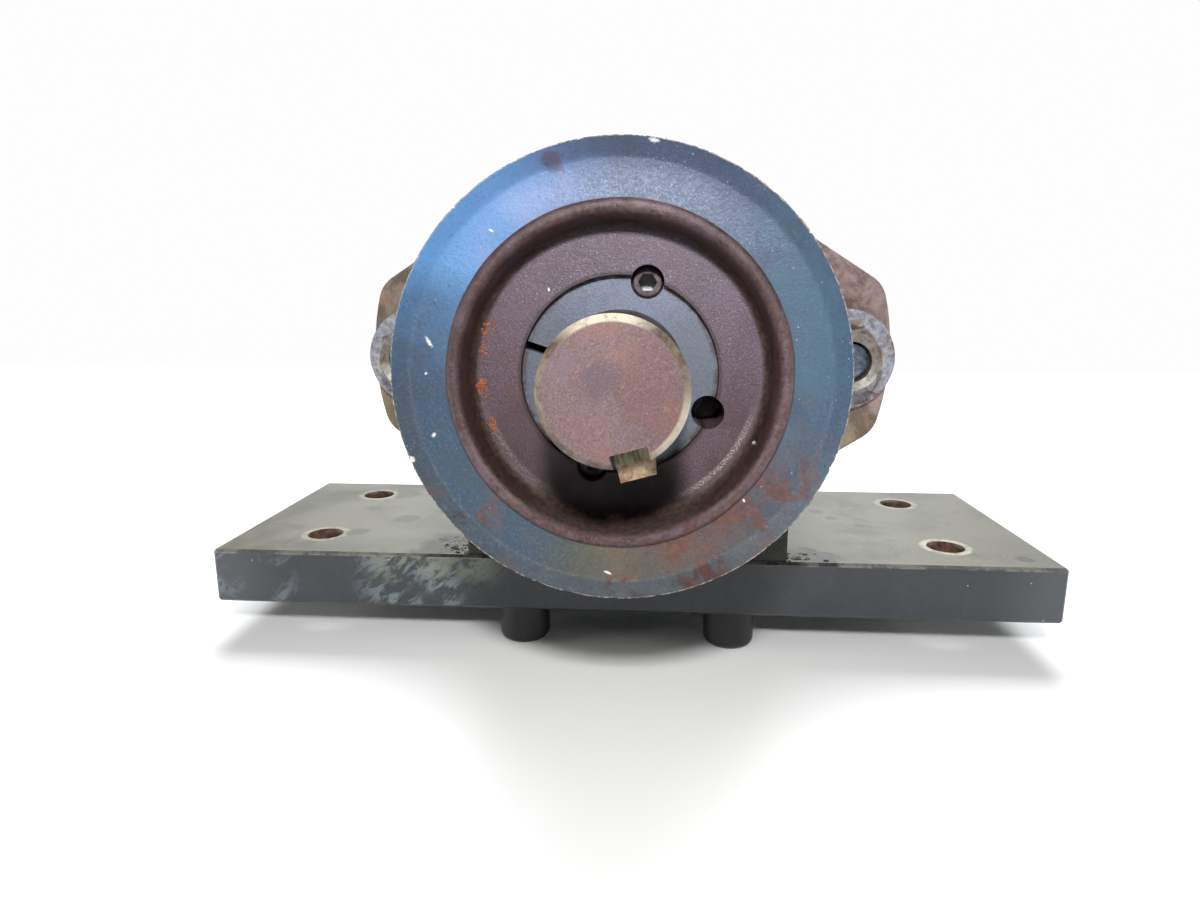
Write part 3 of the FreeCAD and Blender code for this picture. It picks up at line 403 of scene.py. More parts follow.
def phosphated_iron():
    """The pulley's iron: speckled purple-brown, browner on the bead, orange rust at the left."""
    s = Shade("phosphated_iron", rough=0.42, metallic=0.1)
    radius, turn = s.polar(0.0, axis_z)
    y = s.split()[1]
    fine = s.noise(2600, 3, 0.75)
    broad = s.noise(120, 5, 0.6)
    web = s.mix(s.step(fine, 0.34, 0.66), srgb(64, 47, 54), srgb(108, 88, 99))
    web = s.mix(s.mul(s.step(broad, 0.46, 0.70), 0.35), web, srgb(94, 78, 91))
    web = s.mix(s.mul(s.step(s.noise(200, 6, 0.7), 0.50, 0.64), 0.6), web, srgb(88, 60, 60))
    web = s.mix(s.mul(s.step(s.noise(75, 7, 0.75, 0.4), 0.52, 0.62), 0.45), web, srgb(66, 46, 50))
    # Painted highlight: the web is lighter and bluer, with denser sparkle, towards the top.
    top_sheen = s.around(turn, 80, 30, 110)
    sparkle = s.step(s.noise(3200, 3, 0.8), 0.60, 0.68)
    web = s.mix(s.mul(sparkle, s.add(s.mul(top_sheen, 0.5), 0.15)), web, srgb(206, 194, 214))
    web = s.mix(s.mul(top_sheen, 0.15), web, srgb(150, 146, 176))
    web = s.mix(1.0, web, srgb(224, 224, 226), "MULTIPLY")
    # Painted highlight: a thin pale line along the fillet on the lower sides, where it catches the light.
    fillet_highlight = s.mul(s.step(radius, web_edge - 0.0008, web_edge - 0.0002),
                      s.step(radius, web_edge + 0.0008, web_edge + 0.0002))
    sides = s.either(s.around(turn, 226, 14, 34), s.around(turn, 318, 14, 34))
    fillet_highlight = s.mul(fillet_highlight, sides, s.step(s.noise(3000, 4, 0.8), 0.44, 0.60))
    web = s.mix(s.mul(fillet_highlight, 0.65), web, srgb(190, 176, 176))
    # Painted shadow: a near-black patch on the web below the shaft deepens the shaft's cast shadow; the same mask
    # makes the web rougher there.
    painted_shaft_shadow = s.mul(s.around(turn, 269, 24, 42), s.step(radius, 0.0150, 0.0185))
    web = s.mix(s.mul(painted_shaft_shadow, 0.93), web, srgb(14, 11, 10))
    web = s.mix(s.mul(s.around(turn, 232, 14, 48), 0.6), web, srgb(58, 44, 48))
    seam = s.step(s.add(radius, s.mul(s.noise(700, 4), 0.0008)), seam_edge + 0.0006, seam_edge)
    web = s.mix(s.mul(seam, 0.75), web, srgb(46, 28, 28))
    # The wall's own dark colour, deepened as painted shade in the recess.
    wall = s.mix(s.step(s.noise(900, 4, 0.7), 0.36, 0.66), srgb(34, 24, 22), srgb(66, 47, 42))
    bead = s.mix(s.step(s.noise(1300, 4, 0.7), 0.34, 0.66), srgb(60, 44, 46), srgb(92, 70, 74))
    bead = s.mix(s.mul(s.step(s.noise(150, 5), 0.45, 0.65), 0.6), bead, srgb(100, 84, 94))
    bead = s.mix(s.mul(s.step(s.noise(240, 6, 0.7), 0.50, 0.62), 0.7), bead, srgb(74, 48, 42))
    bead = s.mix(s.mul(s.around(turn, 150, 30, 80), 0.5), bead, srgb(160, 140, 136), "MULTIPLY")
    bead = s.mix(s.mul(s.around(turn, 46, 8, 34), 0.6), bead, srgb(160, 146, 142), "MULTIPLY")
    colour = s.mix(s.step(radius, wall_edge, wall_edge + 0.0010), web, wall)
    # Painted shade: at the bottom the dark wall colour reaches further out, over the bead's inner slope.
    lower_wall = s.mul(s.around(turn, 270, 45, 95), -0.0012)
    colour = s.mix(s.step(s.add(radius, lower_wall), bead_edge, bead_edge + 0.0013), colour, bead)
    land = s.mul(s.step(radius, tooth_radius - 0.0006, tooth_radius - 0.0002),
                 s.step(y, ring_high.y - 0.0004, ring_high.y))
    land = s.mul(land, s.step(s.noise(420, 6, 0.7), 0.40, 0.56))
    colour = s.mix(s.mul(land, 0.75), colour, srgb(150, 140, 138))
    cluster_places = (
        (-0.0256, 0.0094, 0.0024), (-0.0267, -0.0026, 0.0021), (-0.0257, -0.0018, 0.0014),
        (-0.0245, -0.0098, 0.0022), (-0.0272, 0.0048, 0.0010), (-0.0232, -0.0168, 0.0008))
    clusters = s.either(*(s.spot(x, ring_high.y - 0.0050, axis_z + z, size)
                          for x, z, size in cluster_places))
    ragged = s.add(clusters, s.swing(s.noise(700, 5, 0.7), 2.4))
    orange = s.mul(s.step(ragged, 0.28, 0.52), s.step(clusters, 0.05, 0.20))
    rust = s.mix(s.noise(1300, 2), srgb(126, 66, 40), srgb(186, 104, 58))
    colour = s.mix(s.mul(orange, 0.9), colour, rust)
    specks = s.either(s.nick(-0.0135, 0.0165, 0.0006, 0.0003, 70),
                      s.nick(0.0262, -0.0125, 0.0005, 0.0003, -50))
    colour = s.mix(s.mul(specks, 0.9), colour, srgb(206, 204, 204))
    height = s.add(fine, s.add(s.mul(s.noise(700, 5, 0.7), 1.2), orange))
    rough = s.add(s.add(0.30, s.mul(painted_shaft_shadow, 0.45)), s.mul(s.noise(360, 5), 0.28))
    return s.finish(colour, rough, s.bump(height, 0.00012, 1.0))


def bush_iron():
    """The taper bush: finely speckled grey-blue, darker low on the right."""
    s = Shade("bush_iron", rough=0.42, metallic=0.15)
    radius, turn = s.polar(0.0, axis_z)
    fine = s.noise(2600, 3, 0.75)
    colour = s.mix(s.step(fine, 0.32, 0.66), srgb(84, 90, 102), srgb(128, 138, 156))
    colour = s.mix(s.mul(s.around(turn, 60, 30, 90), 0.4), colour, srgb(140, 150, 176))
    colour = s.mix(s.mul(s.step(s.noise(260, 5, 0.7), 0.5, 0.68), 0.4), colour, srgb(96, 94, 106))
    sparkle = s.step(s.noise(3300, 3, 0.8), 0.62, 0.68)
    colour = s.mix(s.mul(sparkle, 0.5), colour, srgb(190, 200, 214))
    colour = s.mix(1.0, colour, srgb(216, 216, 220), "MULTIPLY")
    low_right = s.mul(s.either(s.around(turn, 318, 16, 52), s.around(turn, 6, 26, 60)), 0.6)
    colour = s.mix(low_right, colour, s.mix(fine, srgb(66, 72, 78), srgb(104, 112, 118)))
    colour = s.mix(s.mul(s.around(turn, 172, 20, 60), 0.45), colour, srgb(84, 86, 96))
    edge = s.step(radius, bush_edge, bush_edge + 0.0009)
    colour = s.mix(s.mul(edge, s.step(s.noise(500, 4), 0.35, 0.6), 0.8), colour, srgb(66, 44, 42))
    return s.finish(colour, s.add(0.32, s.mul(fine, 0.2)), s.bump(fine, 0.00008, 0.9))


def shaft_steel():
    """Turned steel with a pinkish rust bloom; the chamfer is worn to cream and straw."""
    s = Shade("shaft_steel", rough=0.45, metallic=0.1)
    radius, turn = s.polar(0.0, axis_z)
    y = s.split()[1]
    fine = s.noise(2400, 4, 0.75)
    colour = s.mix(s.step(fine, 0.30, 0.70), srgb(90, 70, 73), srgb(120, 97, 99))
    blotch = s.noise(150, 6, 0.65, 0.4)
    colour = s.mix(s.mul(s.step(blotch, 0.48, 0.62), 0.55), colour, srgb(120, 88, 84))
    colour = s.mix(s.mul(s.step(blotch, 0.44, 0.34), 0.5), colour, srgb(104, 92, 106))
    colour = s.mix(s.mul(s.around(turn, 0, 40, 90), 0.6), colour, srgb(224, 214, 212), "MULTIPLY")
    stain = s.spot(-0.0022, shaft_end, axis_z + 0.0022, 0.0058)
    stain = s.mul(s.step(s.add(stain, s.mul(s.noise(420, 6, 0.7), 0.9)), 0.55, 1.25), 0.55)
    colour = s.mix(stain, colour, srgb(78, 66, 80))
    sparkle = s.step(s.noise(3000, 3, 0.8), 0.63, 0.69)
    colour = s.mix(s.mul(sparkle, 0.4), colour, srgb(196, 178, 172))
    scratches = s.noise(1600, 4, 0.7, 0.0, s.grain(40, 4.0))
    colour = s.mix(s.mul(s.step(scratches, 0.58, 0.70), 0.25), colour, srgb(164, 142, 138))
    rim = s.mul(s.step(radius, chamfer_edge, chamfer_edge + 0.0005),
                s.step(y, shaft_end + 0.0019, shaft_end + 0.0012))
    light_top = s.around(turn, 96, 14, 44)
    pale_low = s.mul(s.around(turn, 330, 14, 34), 0.6)
    brown_steel = s.mix(s.step(s.noise(260, 6, 0.7), 0.42, 0.60),
                        srgb(74, 58, 50), srgb(112, 102, 88))
    worn = s.mix(s.either(light_top, pale_low), brown_steel, srgb(192, 182, 164))
    colour = s.mix(s.mul(rim, s.step(s.noise(300, 5, 0.7), 0.30, 0.50)), colour, worn)
    side = s.step(y, shaft_end + 0.0014, shaft_end + 0.0022)
    side_colour = s.mix(s.noise(520, 5, 0.7), srgb(22, 20, 21), srgb(50, 46, 44))
    colour = s.mix(side, colour, side_colour)
    rings = s.noise(1.0, 2, 0.5, 0.0, s.turned(radius, y))
    height = s.add(s.mul(fine, 0.9), s.mul(rings, 0.4))
    return s.finish(colour, s.add(0.36, s.mul(fine, 0.25)), s.bump(height, 0.00009, 0.9))


def key_steel():
    """The key: greenish with tool marks where the slot hides it, rust-stained and pale outside."""
    s = Shade("key_steel", rough=0.5, metallic=0.2)
    radius = s.polar(0.0, axis_z)[0]
    streaks = s.noise(1500, 4, 0.7, 0.0, s.grain(-15, 9.0))
    inner = s.mix(s.step(streaks, 0.35, 0.65), srgb(78, 76, 54), srgb(138, 134, 104))
    rust = s.noise(600, 6, 0.7, 0.4)
    outer = s.mix(s.step(rust, 0.40, 0.62), srgb(126, 88, 70), srgb(160, 146, 118))
    outer = s.mix(s.mul(s.step(rust, 0.44, 0.36), 0.6), outer, srgb(86, 60, 50))
    colour = s.mix(s.step(radius, 0.0128, 0.0136), inner, outer)
    return s.finish(colour, 0.5, s.bump(s.add(streaks, rust), 0.00012, 0.9))


def ear_iron():
    """The bracket: rusty pink-brown on the right ear, grey-brown on the left, dark on the leg."""
    s = Shade("ear_iron", rough=0.6, metallic=0.05)
    x, _, z = s.split()
    fine = s.noise(1100, 6, 0.75)
    patch = s.noise(120, 8, 0.7, 0.5)
    right = s.mix(s.step(patch, 0.36, 0.60), srgb(90, 69, 64), srgb(138, 120, 119))
    right = s.mix(s.mul(s.step(s.noise(240, 7, 0.7), 0.52, 0.62), 0.7), right, srgb(112, 78, 66))
    right = s.mix(s.mul(s.step(fine, 0.58, 0.72), 0.5), right, srgb(186, 172, 166))
    tan = s.mix(s.step(patch, 0.40, 0.60), srgb(92, 80, 60), srgb(132, 118, 95))
    right = s.mix(s.step(z, axis_z - 0.008, axis_z - 0.022), right, tan)
    left = s.mix(s.step(patch, 0.38, 0.60), srgb(76, 66, 58), srgb(122, 108, 94))
    rust = s.step(s.noise(360, 6, 0.7, 0.4), 0.57, 0.63)
    left = s.mix(s.mul(rust, 0.85), left, srgb(142, 84, 58))
    left = s.mix(s.step(z, axis_z - 0.004, axis_z - 0.018), left,
                 s.mix(patch, srgb(70, 62, 40), srgb(110, 100, 70)))
    colour = s.mix(s.step(x, -0.004, 0.004), left, right)
    pits = s.step(fine, 0.40, 0.30)
    colour = s.mix(s.mul(pits, 0.6), colour, srgb(62, 44, 38))
    ragged = s.add(z, s.swing(patch, 0.016))
    leg = s.step(ragged, axis_z - 0.030, axis_z - 0.036)
    dark = s.mix(s.step(patch, 0.4, 0.65), srgb(20, 20, 19), srgb(44, 44, 40))
    colour = s.mix(leg, colour, dark)
    height = s.add(fine, s.mul(s.noise(260, 6, 0.7), 1.8))
    return s.finish(colour, s.add(0.5, s.mul(fine, 0.3)), s.bump(height, 0.00025, 1.0))


def plate_steel():
    """The base plate: lighter greenish-grey top, partly a painted reflection, charcoal sides with lighter scuffs
    at the left.
    """
    s = Shade("plate_steel", rough=0.42, metallic=0.1)
    x, y, z = s.split()
    clouds = s.noise(30, 6, 0.62, 0.6)
    # The top is lighter than the sides, partly a painted reflection of the light on it.
    top = s.mix(s.step(clouds, 0.36, 0.62), srgb(82, 82, 74), srgb(101, 101, 93))
    streaks = s.noise(90, 5, 0.65, 0.3, s.shift(x_scale=0.25))
    top = s.mix(s.mul(s.step(streaks, 0.50, 0.68), 0.45), top, srgb(108, 108, 100))
    stains = s.step(s.noise(46, 5, 0.55, 0.5), 0.54, 0.66)
    top = s.mix(s.mul(stains, 0.5), top, srgb(66, 66, 57))
    blots = s.mul(s.step(s.noise(150, 3, 0.5, 0.8), 0.66, 0.69), s.step(x, 0.040, 0.060))
    top = s.mix(s.mul(blots, 0.55), top, srgb(104, 104, 92))
    drip_places = (
        (0.0600, 0.0110, 0.0042), (0.0635, 0.0040, 0.0032), (0.0585, 0.0210, 0.0030),
        (0.0700, -0.0040, 0.0030), (0.1060, -0.0310, 0.0040), (-0.0800, 0.0240, 0.0100),
        (-0.0700, -0.0060, 0.0070), (-0.0800, -0.0200, 0.0060))
    drips = s.either(*(s.spot(drip_x, drip_y, plate_top, size)
                       for drip_x, drip_y, size in drip_places))
    drips = s.add(drips, s.swing(s.noise(260, 6, 0.7), 1.5))
    top = s.mix(s.mul(s.step(drips, 0.34, 0.52), 0.5), top, srgb(50, 50, 44))
    # Dark wet grease at the leg's front corners, made larger and darker as painted shade where the leg meets the
    # plate.
    grease_and_shade = s.either(s.spot(-0.047, plate_low.y + 0.003, plate_top, 0.024),
                   s.spot(0.046, plate_low.y + 0.002, plate_top, 0.019))
    grease_and_shade = s.step(s.add(grease_and_shade, s.swing(s.noise(140, 6, 0.7), 1.6)), 0.38, 0.52)
    top = s.mix(s.mul(grease_and_shade, 0.9), top, srgb(32, 32, 28))
    side = s.mix(s.noise(420, 5, 0.7), srgb(38, 41, 45), srgb(57, 60, 65))
    side = s.mix(s.mul(s.step(s.noise(50, 4), 0.4, 0.7), 0.4), side, srgb(38, 41, 45))
    ends = s.step(s.math("ABSOLUTE", x), plate_high.x - 0.022, plate_high.x - 0.002)
    side = s.mix(s.mul(ends, 0.6), side, srgb(78, 81, 86))
    feather = s.noise(420, 6, 0.72, 0.5, s.grain(48, 3.2))
    where = s.noise(62, 4, 0.6, 0.0, s.shift(x=0.3))
    far_left = s.mul(s.step(x, -0.088, -0.098), s.step(where, 0.40, 0.54))
    middle = s.mul(s.step(x, -0.078, -0.066), s.step(x, -0.042, -0.048), s.step(where, 0.34, 0.48))
    ahead = s.step(s.facing("Y"), -0.6, -0.9)
    scuffs = s.mul(s.either(far_left, middle), s.step(feather, 0.47, 0.55), ahead)
    side = s.mix(s.mul(scuffs, 0.75), side, srgb(106, 116, 122))
    smear = s.mul(s.step(x, -0.074, -0.062), s.step(x, -0.030, -0.042))
    smear = s.mul(smear, s.step(s.noise(95, 7, 0.7, 0.3), 0.42, 0.52),
                  s.step(feather, 0.34, 0.48), ahead)
    high = s.step(z, plate_top - 0.0105, plate_top - 0.0040)
    side = s.mix(s.mul(smear, high, 0.8), side, srgb(112, 116, 104))
    upward = s.step(s.facing("Z"), 0.5, 0.9)
    colour = s.mix(upward, side, top)
    for sx in (-1, 1):
        for sy in (-1, 1):
            ring = s.spot(sx * hole_x, sy * hole_y, plate_top, hole_wear)
            worn = s.mul(s.step(ring, 0.30, 0.42), s.step(s.noise(320, 6, 0.7), 0.34, 0.54), upward)
            pale = sx > 0 and sy < 0
            colour = s.mix(s.mul(worn, 0.6 if pale else 0.3), colour, srgb(190, 184, 166))
    bore = s.mul(s.step(s.math("ABSOLUTE", s.facing("Z")), 0.6, 0.4),
                 s.step(s.math("ABSOLUTE", y), plate_high.y - 0.003, plate_high.y - 0.006),
                 s.step(s.math("ABSOLUTE", x), plate_high.x - 0.004, plate_high.x - 0.008))
    copper = s.mix(s.step(s.noise(260, 5, 0.7), 0.35, 0.65), srgb(62, 44, 36), srgb(122, 92, 76))
    colour = s.mix(bore, colour, copper)
    edge_z = s.step(z, plate_top - 0.0012, plate_top - 0.0006)
    worn_edge = s.mul(edge_z, s.math("SUBTRACT", 1.0, upward),
                      s.step(s.noise(200, 5, 0.7), 0.44, 0.56))
    colour = s.mix(s.mul(worn_edge, 0.6), colour, srgb(150, 150, 140))
    flecks = s.step(s.cells(150), 0.035, 0.015)
    colour = s.mix(s.mul(flecks, 0.8), colour, srgb(186, 184, 176))
    height = s.add(s.noise(1100, 5, 0.7), s.mul(s.noise(150, 5), 1.2))
    rough = s.add(s.add(0.32, s.mul(clouds, 0.25)), s.mul(grease_and_shade, -0.15))
    return s.finish(colour, rough, s.bump(height, 0.00009, 0.9))


def zinc_steel(name, dark, light, shade_radius=None):
    """Dull zinc with straw and rust stains, and perhaps a ring of painted contact shade round each ear bolt."""
    s = Shade(name, rough=0.36, metallic=0.35)
    fine = s.noise(700, 6, 0.7)
    colour = s.mix(s.step(fine, 0.35, 0.65), srgb(*dark), srgb(*light))
    straw = s.step(s.noise(300, 6, 0.7, 0.6), 0.52, 0.62)
    colour = s.mix(s.mul(straw, 0.75), colour, srgb(126, 106, 76))
    rust = s.step(s.noise(460, 6, 0.7), 0.58, 0.64)
    colour = s.mix(s.mul(rust, 0.75), colour, srgb(92, 62, 48))
    if shade_radius:
        # Painted contact shade: a dark ring on the washer round each nut.
        reaches = [s.polar(side * ear_bolt_x, axis_z)[0] for side in (-1, 1)]
        contact_shade = s.either(*(s.step(reach, shade_radius + 0.0009, shade_radius) for reach in reaches))
        colour = s.mix(s.mul(contact_shade, 0.85), colour, srgb(46, 40, 36))
    return s.finish(colour, s.add(0.28, s.mul(fine, 0.25)), s.bump(fine, 0.00014, 0.9))


def plain_metal(name, dark, light, rough, metallic, scale=900):
    """Machined or cast metal with two tones and a fine grain."""
    s = Shade(name, rough=rough, metallic=metallic)
    fine = s.noise(scale, 6, 0.7)
    broad = s.noise(scale / 8, 6, 0.65)
    colour = s.mix(s.step(fine, 0.34, 0.66), srgb(*dark), srgb(*light))
    colour = s.mix(s.mul(s.step(broad, 0.48, 0.64), 0.5), colour, srgb(*dark))
    return s.finish(colour, s.add(rough - 0.1, s.mul(fine, 0.2)), s.bump(fine, 0.00008, 0.9))


def motor_paint():
    """Dark grey paint on cast iron: rust at chips, dust on upward faces, oil run down the sides."""
    s = Shade("motor_paint", rough=0.5, metallic=0.05)
    fine = s.noise(420, 6, 0.7)
    broad = s.noise(46, 6, 0.65, 0.5)
    colour = s.mix(s.step(fine, 0.34, 0.66), srgb(46, 49, 50), srgb(70, 73, 73))
    colour = s.mix(s.mul(s.step(broad, 0.44, 0.62), 0.5), colour, srgb(84, 84, 78))
    runs = s.step(s.noise(150, 5, 0.65, 0.0, s.grain(0, 7.0)), 0.52, 0.62)
    level = s.math("ABSOLUTE", s.facing("Z"))
    colour = s.mix(s.mul(runs, s.step(level, 0.6, 0.3), 0.6), colour, srgb(26, 25, 22))
    dust = s.mul(s.step(s.facing("Z"), 0.3, 0.9), s.step(s.noise(90, 6, 0.7), 0.36, 0.62))
    colour = s.mix(s.mul(dust, 0.5), colour, srgb(118, 112, 98))
    chips = s.noise(170, 8, 0.75, 0.3)
    rusty = s.step(chips, 0.60, 0.63)
    colour = s.mix(s.mul(rusty, 0.85), colour, s.mix(fine, srgb(72, 44, 32), srgb(132, 86, 60)))
    colour = s.mix(s.step(chips, 0.665, 0.68), colour, srgb(126, 124, 120))
    height = s.add(s.mul(fine, 1.2), s.mul(rusty, -0.8))
    rough = s.add(s.add(0.42, s.mul(dust, 0.3)), s.mul(runs, -0.14))
    return s.finish(colour, rough, s.bump(height, 0.00018, 1.0))


def screw_steel():
    """The bush's set screws: brown-grey heads, a painted highlight on the floor of the hex socket."""
    s = Shade("screw_steel", rough=0.4, metallic=0.4)
    y = s.split()[1]
    fine = s.noise(900, 6, 0.7)
    colour = s.mix(s.step(fine, 0.34, 0.66), srgb(56, 46, 48), srgb(96, 84, 86))
    # Painted highlight: a pale floor in the hex socket.
    socket_highlight = s.mul(s.step(y, screw_front + 0.0010, screw_front + 0.0016),
                   s.step(s.facing("Y"), -0.7, -0.95))
    colour = s.mix(s.mul(socket_highlight, 0.9), colour, srgb(190, 194, 200))
    return s.finish(colour, s.add(0.3, s.mul(fine, 0.2)), s.bump(fine, 0.00008, 0.9))


def dress_nodes():
    """Give every node its finish and add the finer pieces."""
    blue, iron = blued_flange(), phosphated_iron()
    zinc = zinc_steel("zinc_washer", (112, 114, 124), (164, 166, 180), nut_corner)
    nut = zinc_steel("zinc_nut", (84, 82, 80), (132, 130, 126))
    black = plain_metal("black_steel", (8, 9, 10), (18, 19, 22), 0.45, 0.1)
    paint = motor_paint()
    ground = plain_metal("ground_steel", (140, 140, 142), (176, 176, 178), 0.35, 0.6)
    rubber = plain_metal("seal_rubber", (22, 22, 22), (36, 36, 36), 0.7, 0.0)
    aluminium = plain_metal("block_aluminium", (158, 160, 162), (196, 198, 200), 0.4, 0.6)
    bronze = plain_metal("bush_bronze", (150, 112, 66), (186, 146, 90), 0.4, 0.6)
    finishes = {
        "base_plate": plate_steel(), "upright_bracket": ear_iron(), "foot_screws": black,
        "ear_bolts": plain_metal("bolt_steel", (78, 84, 98), (126, 136, 154), 0.3, 0.6),
        "ear_washers": zinc, "ear_nuts": nut, "front_cover": paint, "gear_housing": paint,
        "rear_cover": paint, "through_bolts": black, "dowel_pins": ground, "body_seals": rubber,
        "drain_plug": zinc, "drive_gear": ground, "idler_gear": ground,
        "front_bearing_block": aluminium, "rear_bearing_block": aluminium,
        "front_journal_bushes": bronze, "rear_journal_bushes": bronze,
        "output_shaft": shaft_steel(), "shaft_key": key_steel(), "shaft_seal": rubber,
        "bearing_snap_ring": black, "shaft_snap_ring": black, "bearing_outer_race": ground,
        "bearing_inner_race": ground, "bearing_balls": ground, "bearing_cage": bronze,
        "taper_bush": bush_iron(), "bush_set_screws": screw_steel(), "belt_pulley": iron,
        "front_pulley_flange": blue, "rear_pulley_flange": blue,
    }
    for name, obj in nodes.items():
        coat(obj, finishes.get(name, paint))
    worn_flange("front_pulley_flange", blue, 3.0)
    worn_flange("rear_pulley_flange", blue, 8.0)
    rolled_bead(iron)
    grit(plain_metal("greasy_grit", (20, 19, 17), (52, 48, 42), 0.45, 0.0, 2000))
    rust_scale(plain_metal("rust_scale", (96, 48, 28), (158, 88, 48), 0.7, 0.0, 3000))


# Finer geometry than the solids have
def ring_of_revolution(name, profile, segments, wobble):
    """A closed ring about the shaft line from (y, radius) corners; wobble moves each point."""
    made = bmesh.new()
    rows = []
    for i in range(segments):
        angle = 2 * math.pi * i / segments
        row = []
        for y, radius in profile:
            dy, dr = wobble(y, radius, angle)
            reach = radius + dr
            x, z = reach * math.cos(angle), axis_z + reach * math.sin(angle)
            row.append(made.verts.new((x, y + dy, z)))
        rows.append(row)
    for i in range(segments):
        here, after = rows[i], rows[(i + 1) % segments]
        for k in range(len(profile)):
            m = (k + 1) % len(profile)
            made.faces.new((here[k], here[m], after[m], after[k]))
    bmesh.ops.recalc_face_normals(made, faces=made.faces)
    return link_mesh(name, made)


def link_mesh(name, made):
    """A bmesh as a named object with smooth faces and sharp edges."""
    mesh = bpy.data.meshes.new(name)
    made.to_mesh(mesh)
    made.free()
    mesh.polygons.foreach_set("use_smooth", [True] * len(mesh.polygons))
    mesh.set_sharp_from_angle(angle=math.radians(32))
    obj = bpy.data.objects.new(name, mesh)
    bpy.context.scene.collection.objects.link(obj)
    return obj


def within(value):
    """A value kept between 0 and 1."""
    return min(1.0, max(0.0, value))


def chip(angle, seed):
    """How deep the lip is worn at an angle: mostly nothing, here and there a small nick."""
    place = Vector((math.cos(angle) * 60, math.sin(angle) * 60, seed))
    broad = max(0.0, noise.noise(place * 0.35) - 0.05) * 0.00018
    sharp = max(0.0, noise.noise(place * 1.3) - 0.38) * 0.0011
    return broad + sharp


def worn_flange(node, material, seed):
    """A flange ring with a soft bend and a lip worn by knocks."""
    low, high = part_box(node)
    forward = -1.0 if node.startswith("front") else 1.0
    tip = low.y if forward < 0 else high.y
    back = high.y if forward < 0 else low.y
    face = back + forward * ring_thick
    lip = (high.x - low.x) / 2
    bend = [(face, lip - 0.0037), (face + forward * 0.00004, lip - 0.0033),
            (face + forward * 0.00018, lip - 0.0029), (face + forward * 0.00048, lip - 0.0024)]
    profile = [(back, ring_seat), (face, ring_seat), (face, ring_seat + 0.0025),
               (face, lip - 0.0055)]
    profile += bend + [(tip - forward * 0.0004, lip - 0.0009), (tip, lip - 0.00030),
                       (tip - forward * 0.00008, lip - 0.00010), (tip - forward * 0.00028, lip),
                       (tip - forward * 0.00070, lip), (tip - forward * 0.00115, lip - 0.00004),
                       (tip - forward * ring_thick, lip - 0.00020), (back, lip - 0.0031)]

    def wobble(y, radius, angle):
        depth = chip(angle, seed) * within((radius - lip + 0.0008) / 0.0008)
        dent = noise.noise(Vector((math.cos(angle) * 6, math.sin(angle) * 6, radius * 300 + seed)))
        wave = 0.00003 * dent * within((radius - ring_seat - 0.001) / 0.002)
        away = forward * (y - back) / ring_thick
        return (-forward * (abs(wave) + depth * 0.5) if away > 0.4 else 0.0), -depth

    obj = ring_of_revolution("worn_" + node, profile, 1080, wobble)
    coat(obj, material)
    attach(obj, "shaft")
    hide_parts(node)


def rolled_bead(material):
    """The rim's lip as it was rolled over the front ring: a round bead of uneven width."""
    face = ring_high.y - ring_thick
    inner, outer, height = 0.02972, 0.03262, 0.00143
    steps = 14
    profile = []
    for i in range(steps + 1):
        t = math.pi * i / steps
        middle = (inner + outer) / 2 + 0.00012 * math.sin(t)
        across = (outer - inner) / 2 * math.cos(t)
        profile.append((face - height * math.sin(t) ** 0.8, middle - across))
    profile += [(face + 0.0002, outer - 0.0003), (face + 0.0002, inner + 0.0003)]

    def wobble(y, radius, angle):
        broad = noise.noise(Vector((math.cos(angle), math.sin(angle), radius * 260)) * 4.0)
        small = noise.noise(Vector((math.cos(angle) * 38, math.sin(angle) * 38, radius * 900)))
        lift = 0.00007 * broad + 0.00003 * small
        return (abs(lift) if y < face else 0.0), (0.00009 * broad if y < face else 0.0)

    obj = ring_of_revolution("rolled_bead", profile, 900, wobble)
    coat(obj, material)
    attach(obj, "shaft")


def crumb(made, place, size, flat, rng):
    """One lump of scale or grit: a ball of facets pushed in and out."""
    rings, sides = 5, 8
    shift = Vector((rng.uniform(0, 90), rng.uniform(0, 90), rng.uniform(0, 90)))
    across, along, tall = flat
    grid = []
    for i in range(1, rings):
        polar_angle = math.pi * i / rings
        row = []
        for k in range(sides):
            a = 2 * math.pi * k / sides
            way = Vector((math.sin(polar_angle) * math.cos(a), math.sin(polar_angle) * math.sin(a),
                          math.cos(polar_angle)))
            reach = size * (0.8 + 0.5 * noise.noise(way * 1.7 + shift))
            row.append(made.verts.new(place + Vector((way.x * reach * across, way.y * reach * along,
                                                      way.z * reach * tall))))
        grid.append(row)
    top = made.verts.new(place + Vector((0, 0, size * 0.8 * tall)))
    bottom = made.verts.new(place - Vector((0, 0, size * 0.8 * tall)))
    for k in range(sides):
        m = (k + 1) % sides
        made.faces.new((top, grid[0][k], grid[0][m]))
        made.faces.new((bottom, grid[-1][m], grid[-1][k]))
        for top_sheen, under in zip(grid, grid[1:]):
            made.faces.new((top_sheen[k], under[k], under[m], top_sheen[m]))


def grit(material):
    """Greasy grit that has gathered on the plate where the upright's front corners meet it."""
    rng = random.Random(11)
    made = bmesh.new()
    for side, count in ((-1, 34), (1, 26)):
        for _ in range(count):
            size = rng.choice((0.00022, 0.00032, 0.00045, 0.00065))
            out = abs(rng.gauss(0, 0.0035))
            place = Vector((side * (leg_half_width + 0.0004 + out),
                            front_y + rng.uniform(0.0012, 0.0085), plate_top + size * 0.12))
            crumb(made, place, size, (1.3, 1.1, 0.55), rng)
    obj = link_mesh("plate_grit", made)
    coat(obj, material)
    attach(obj, "motor")


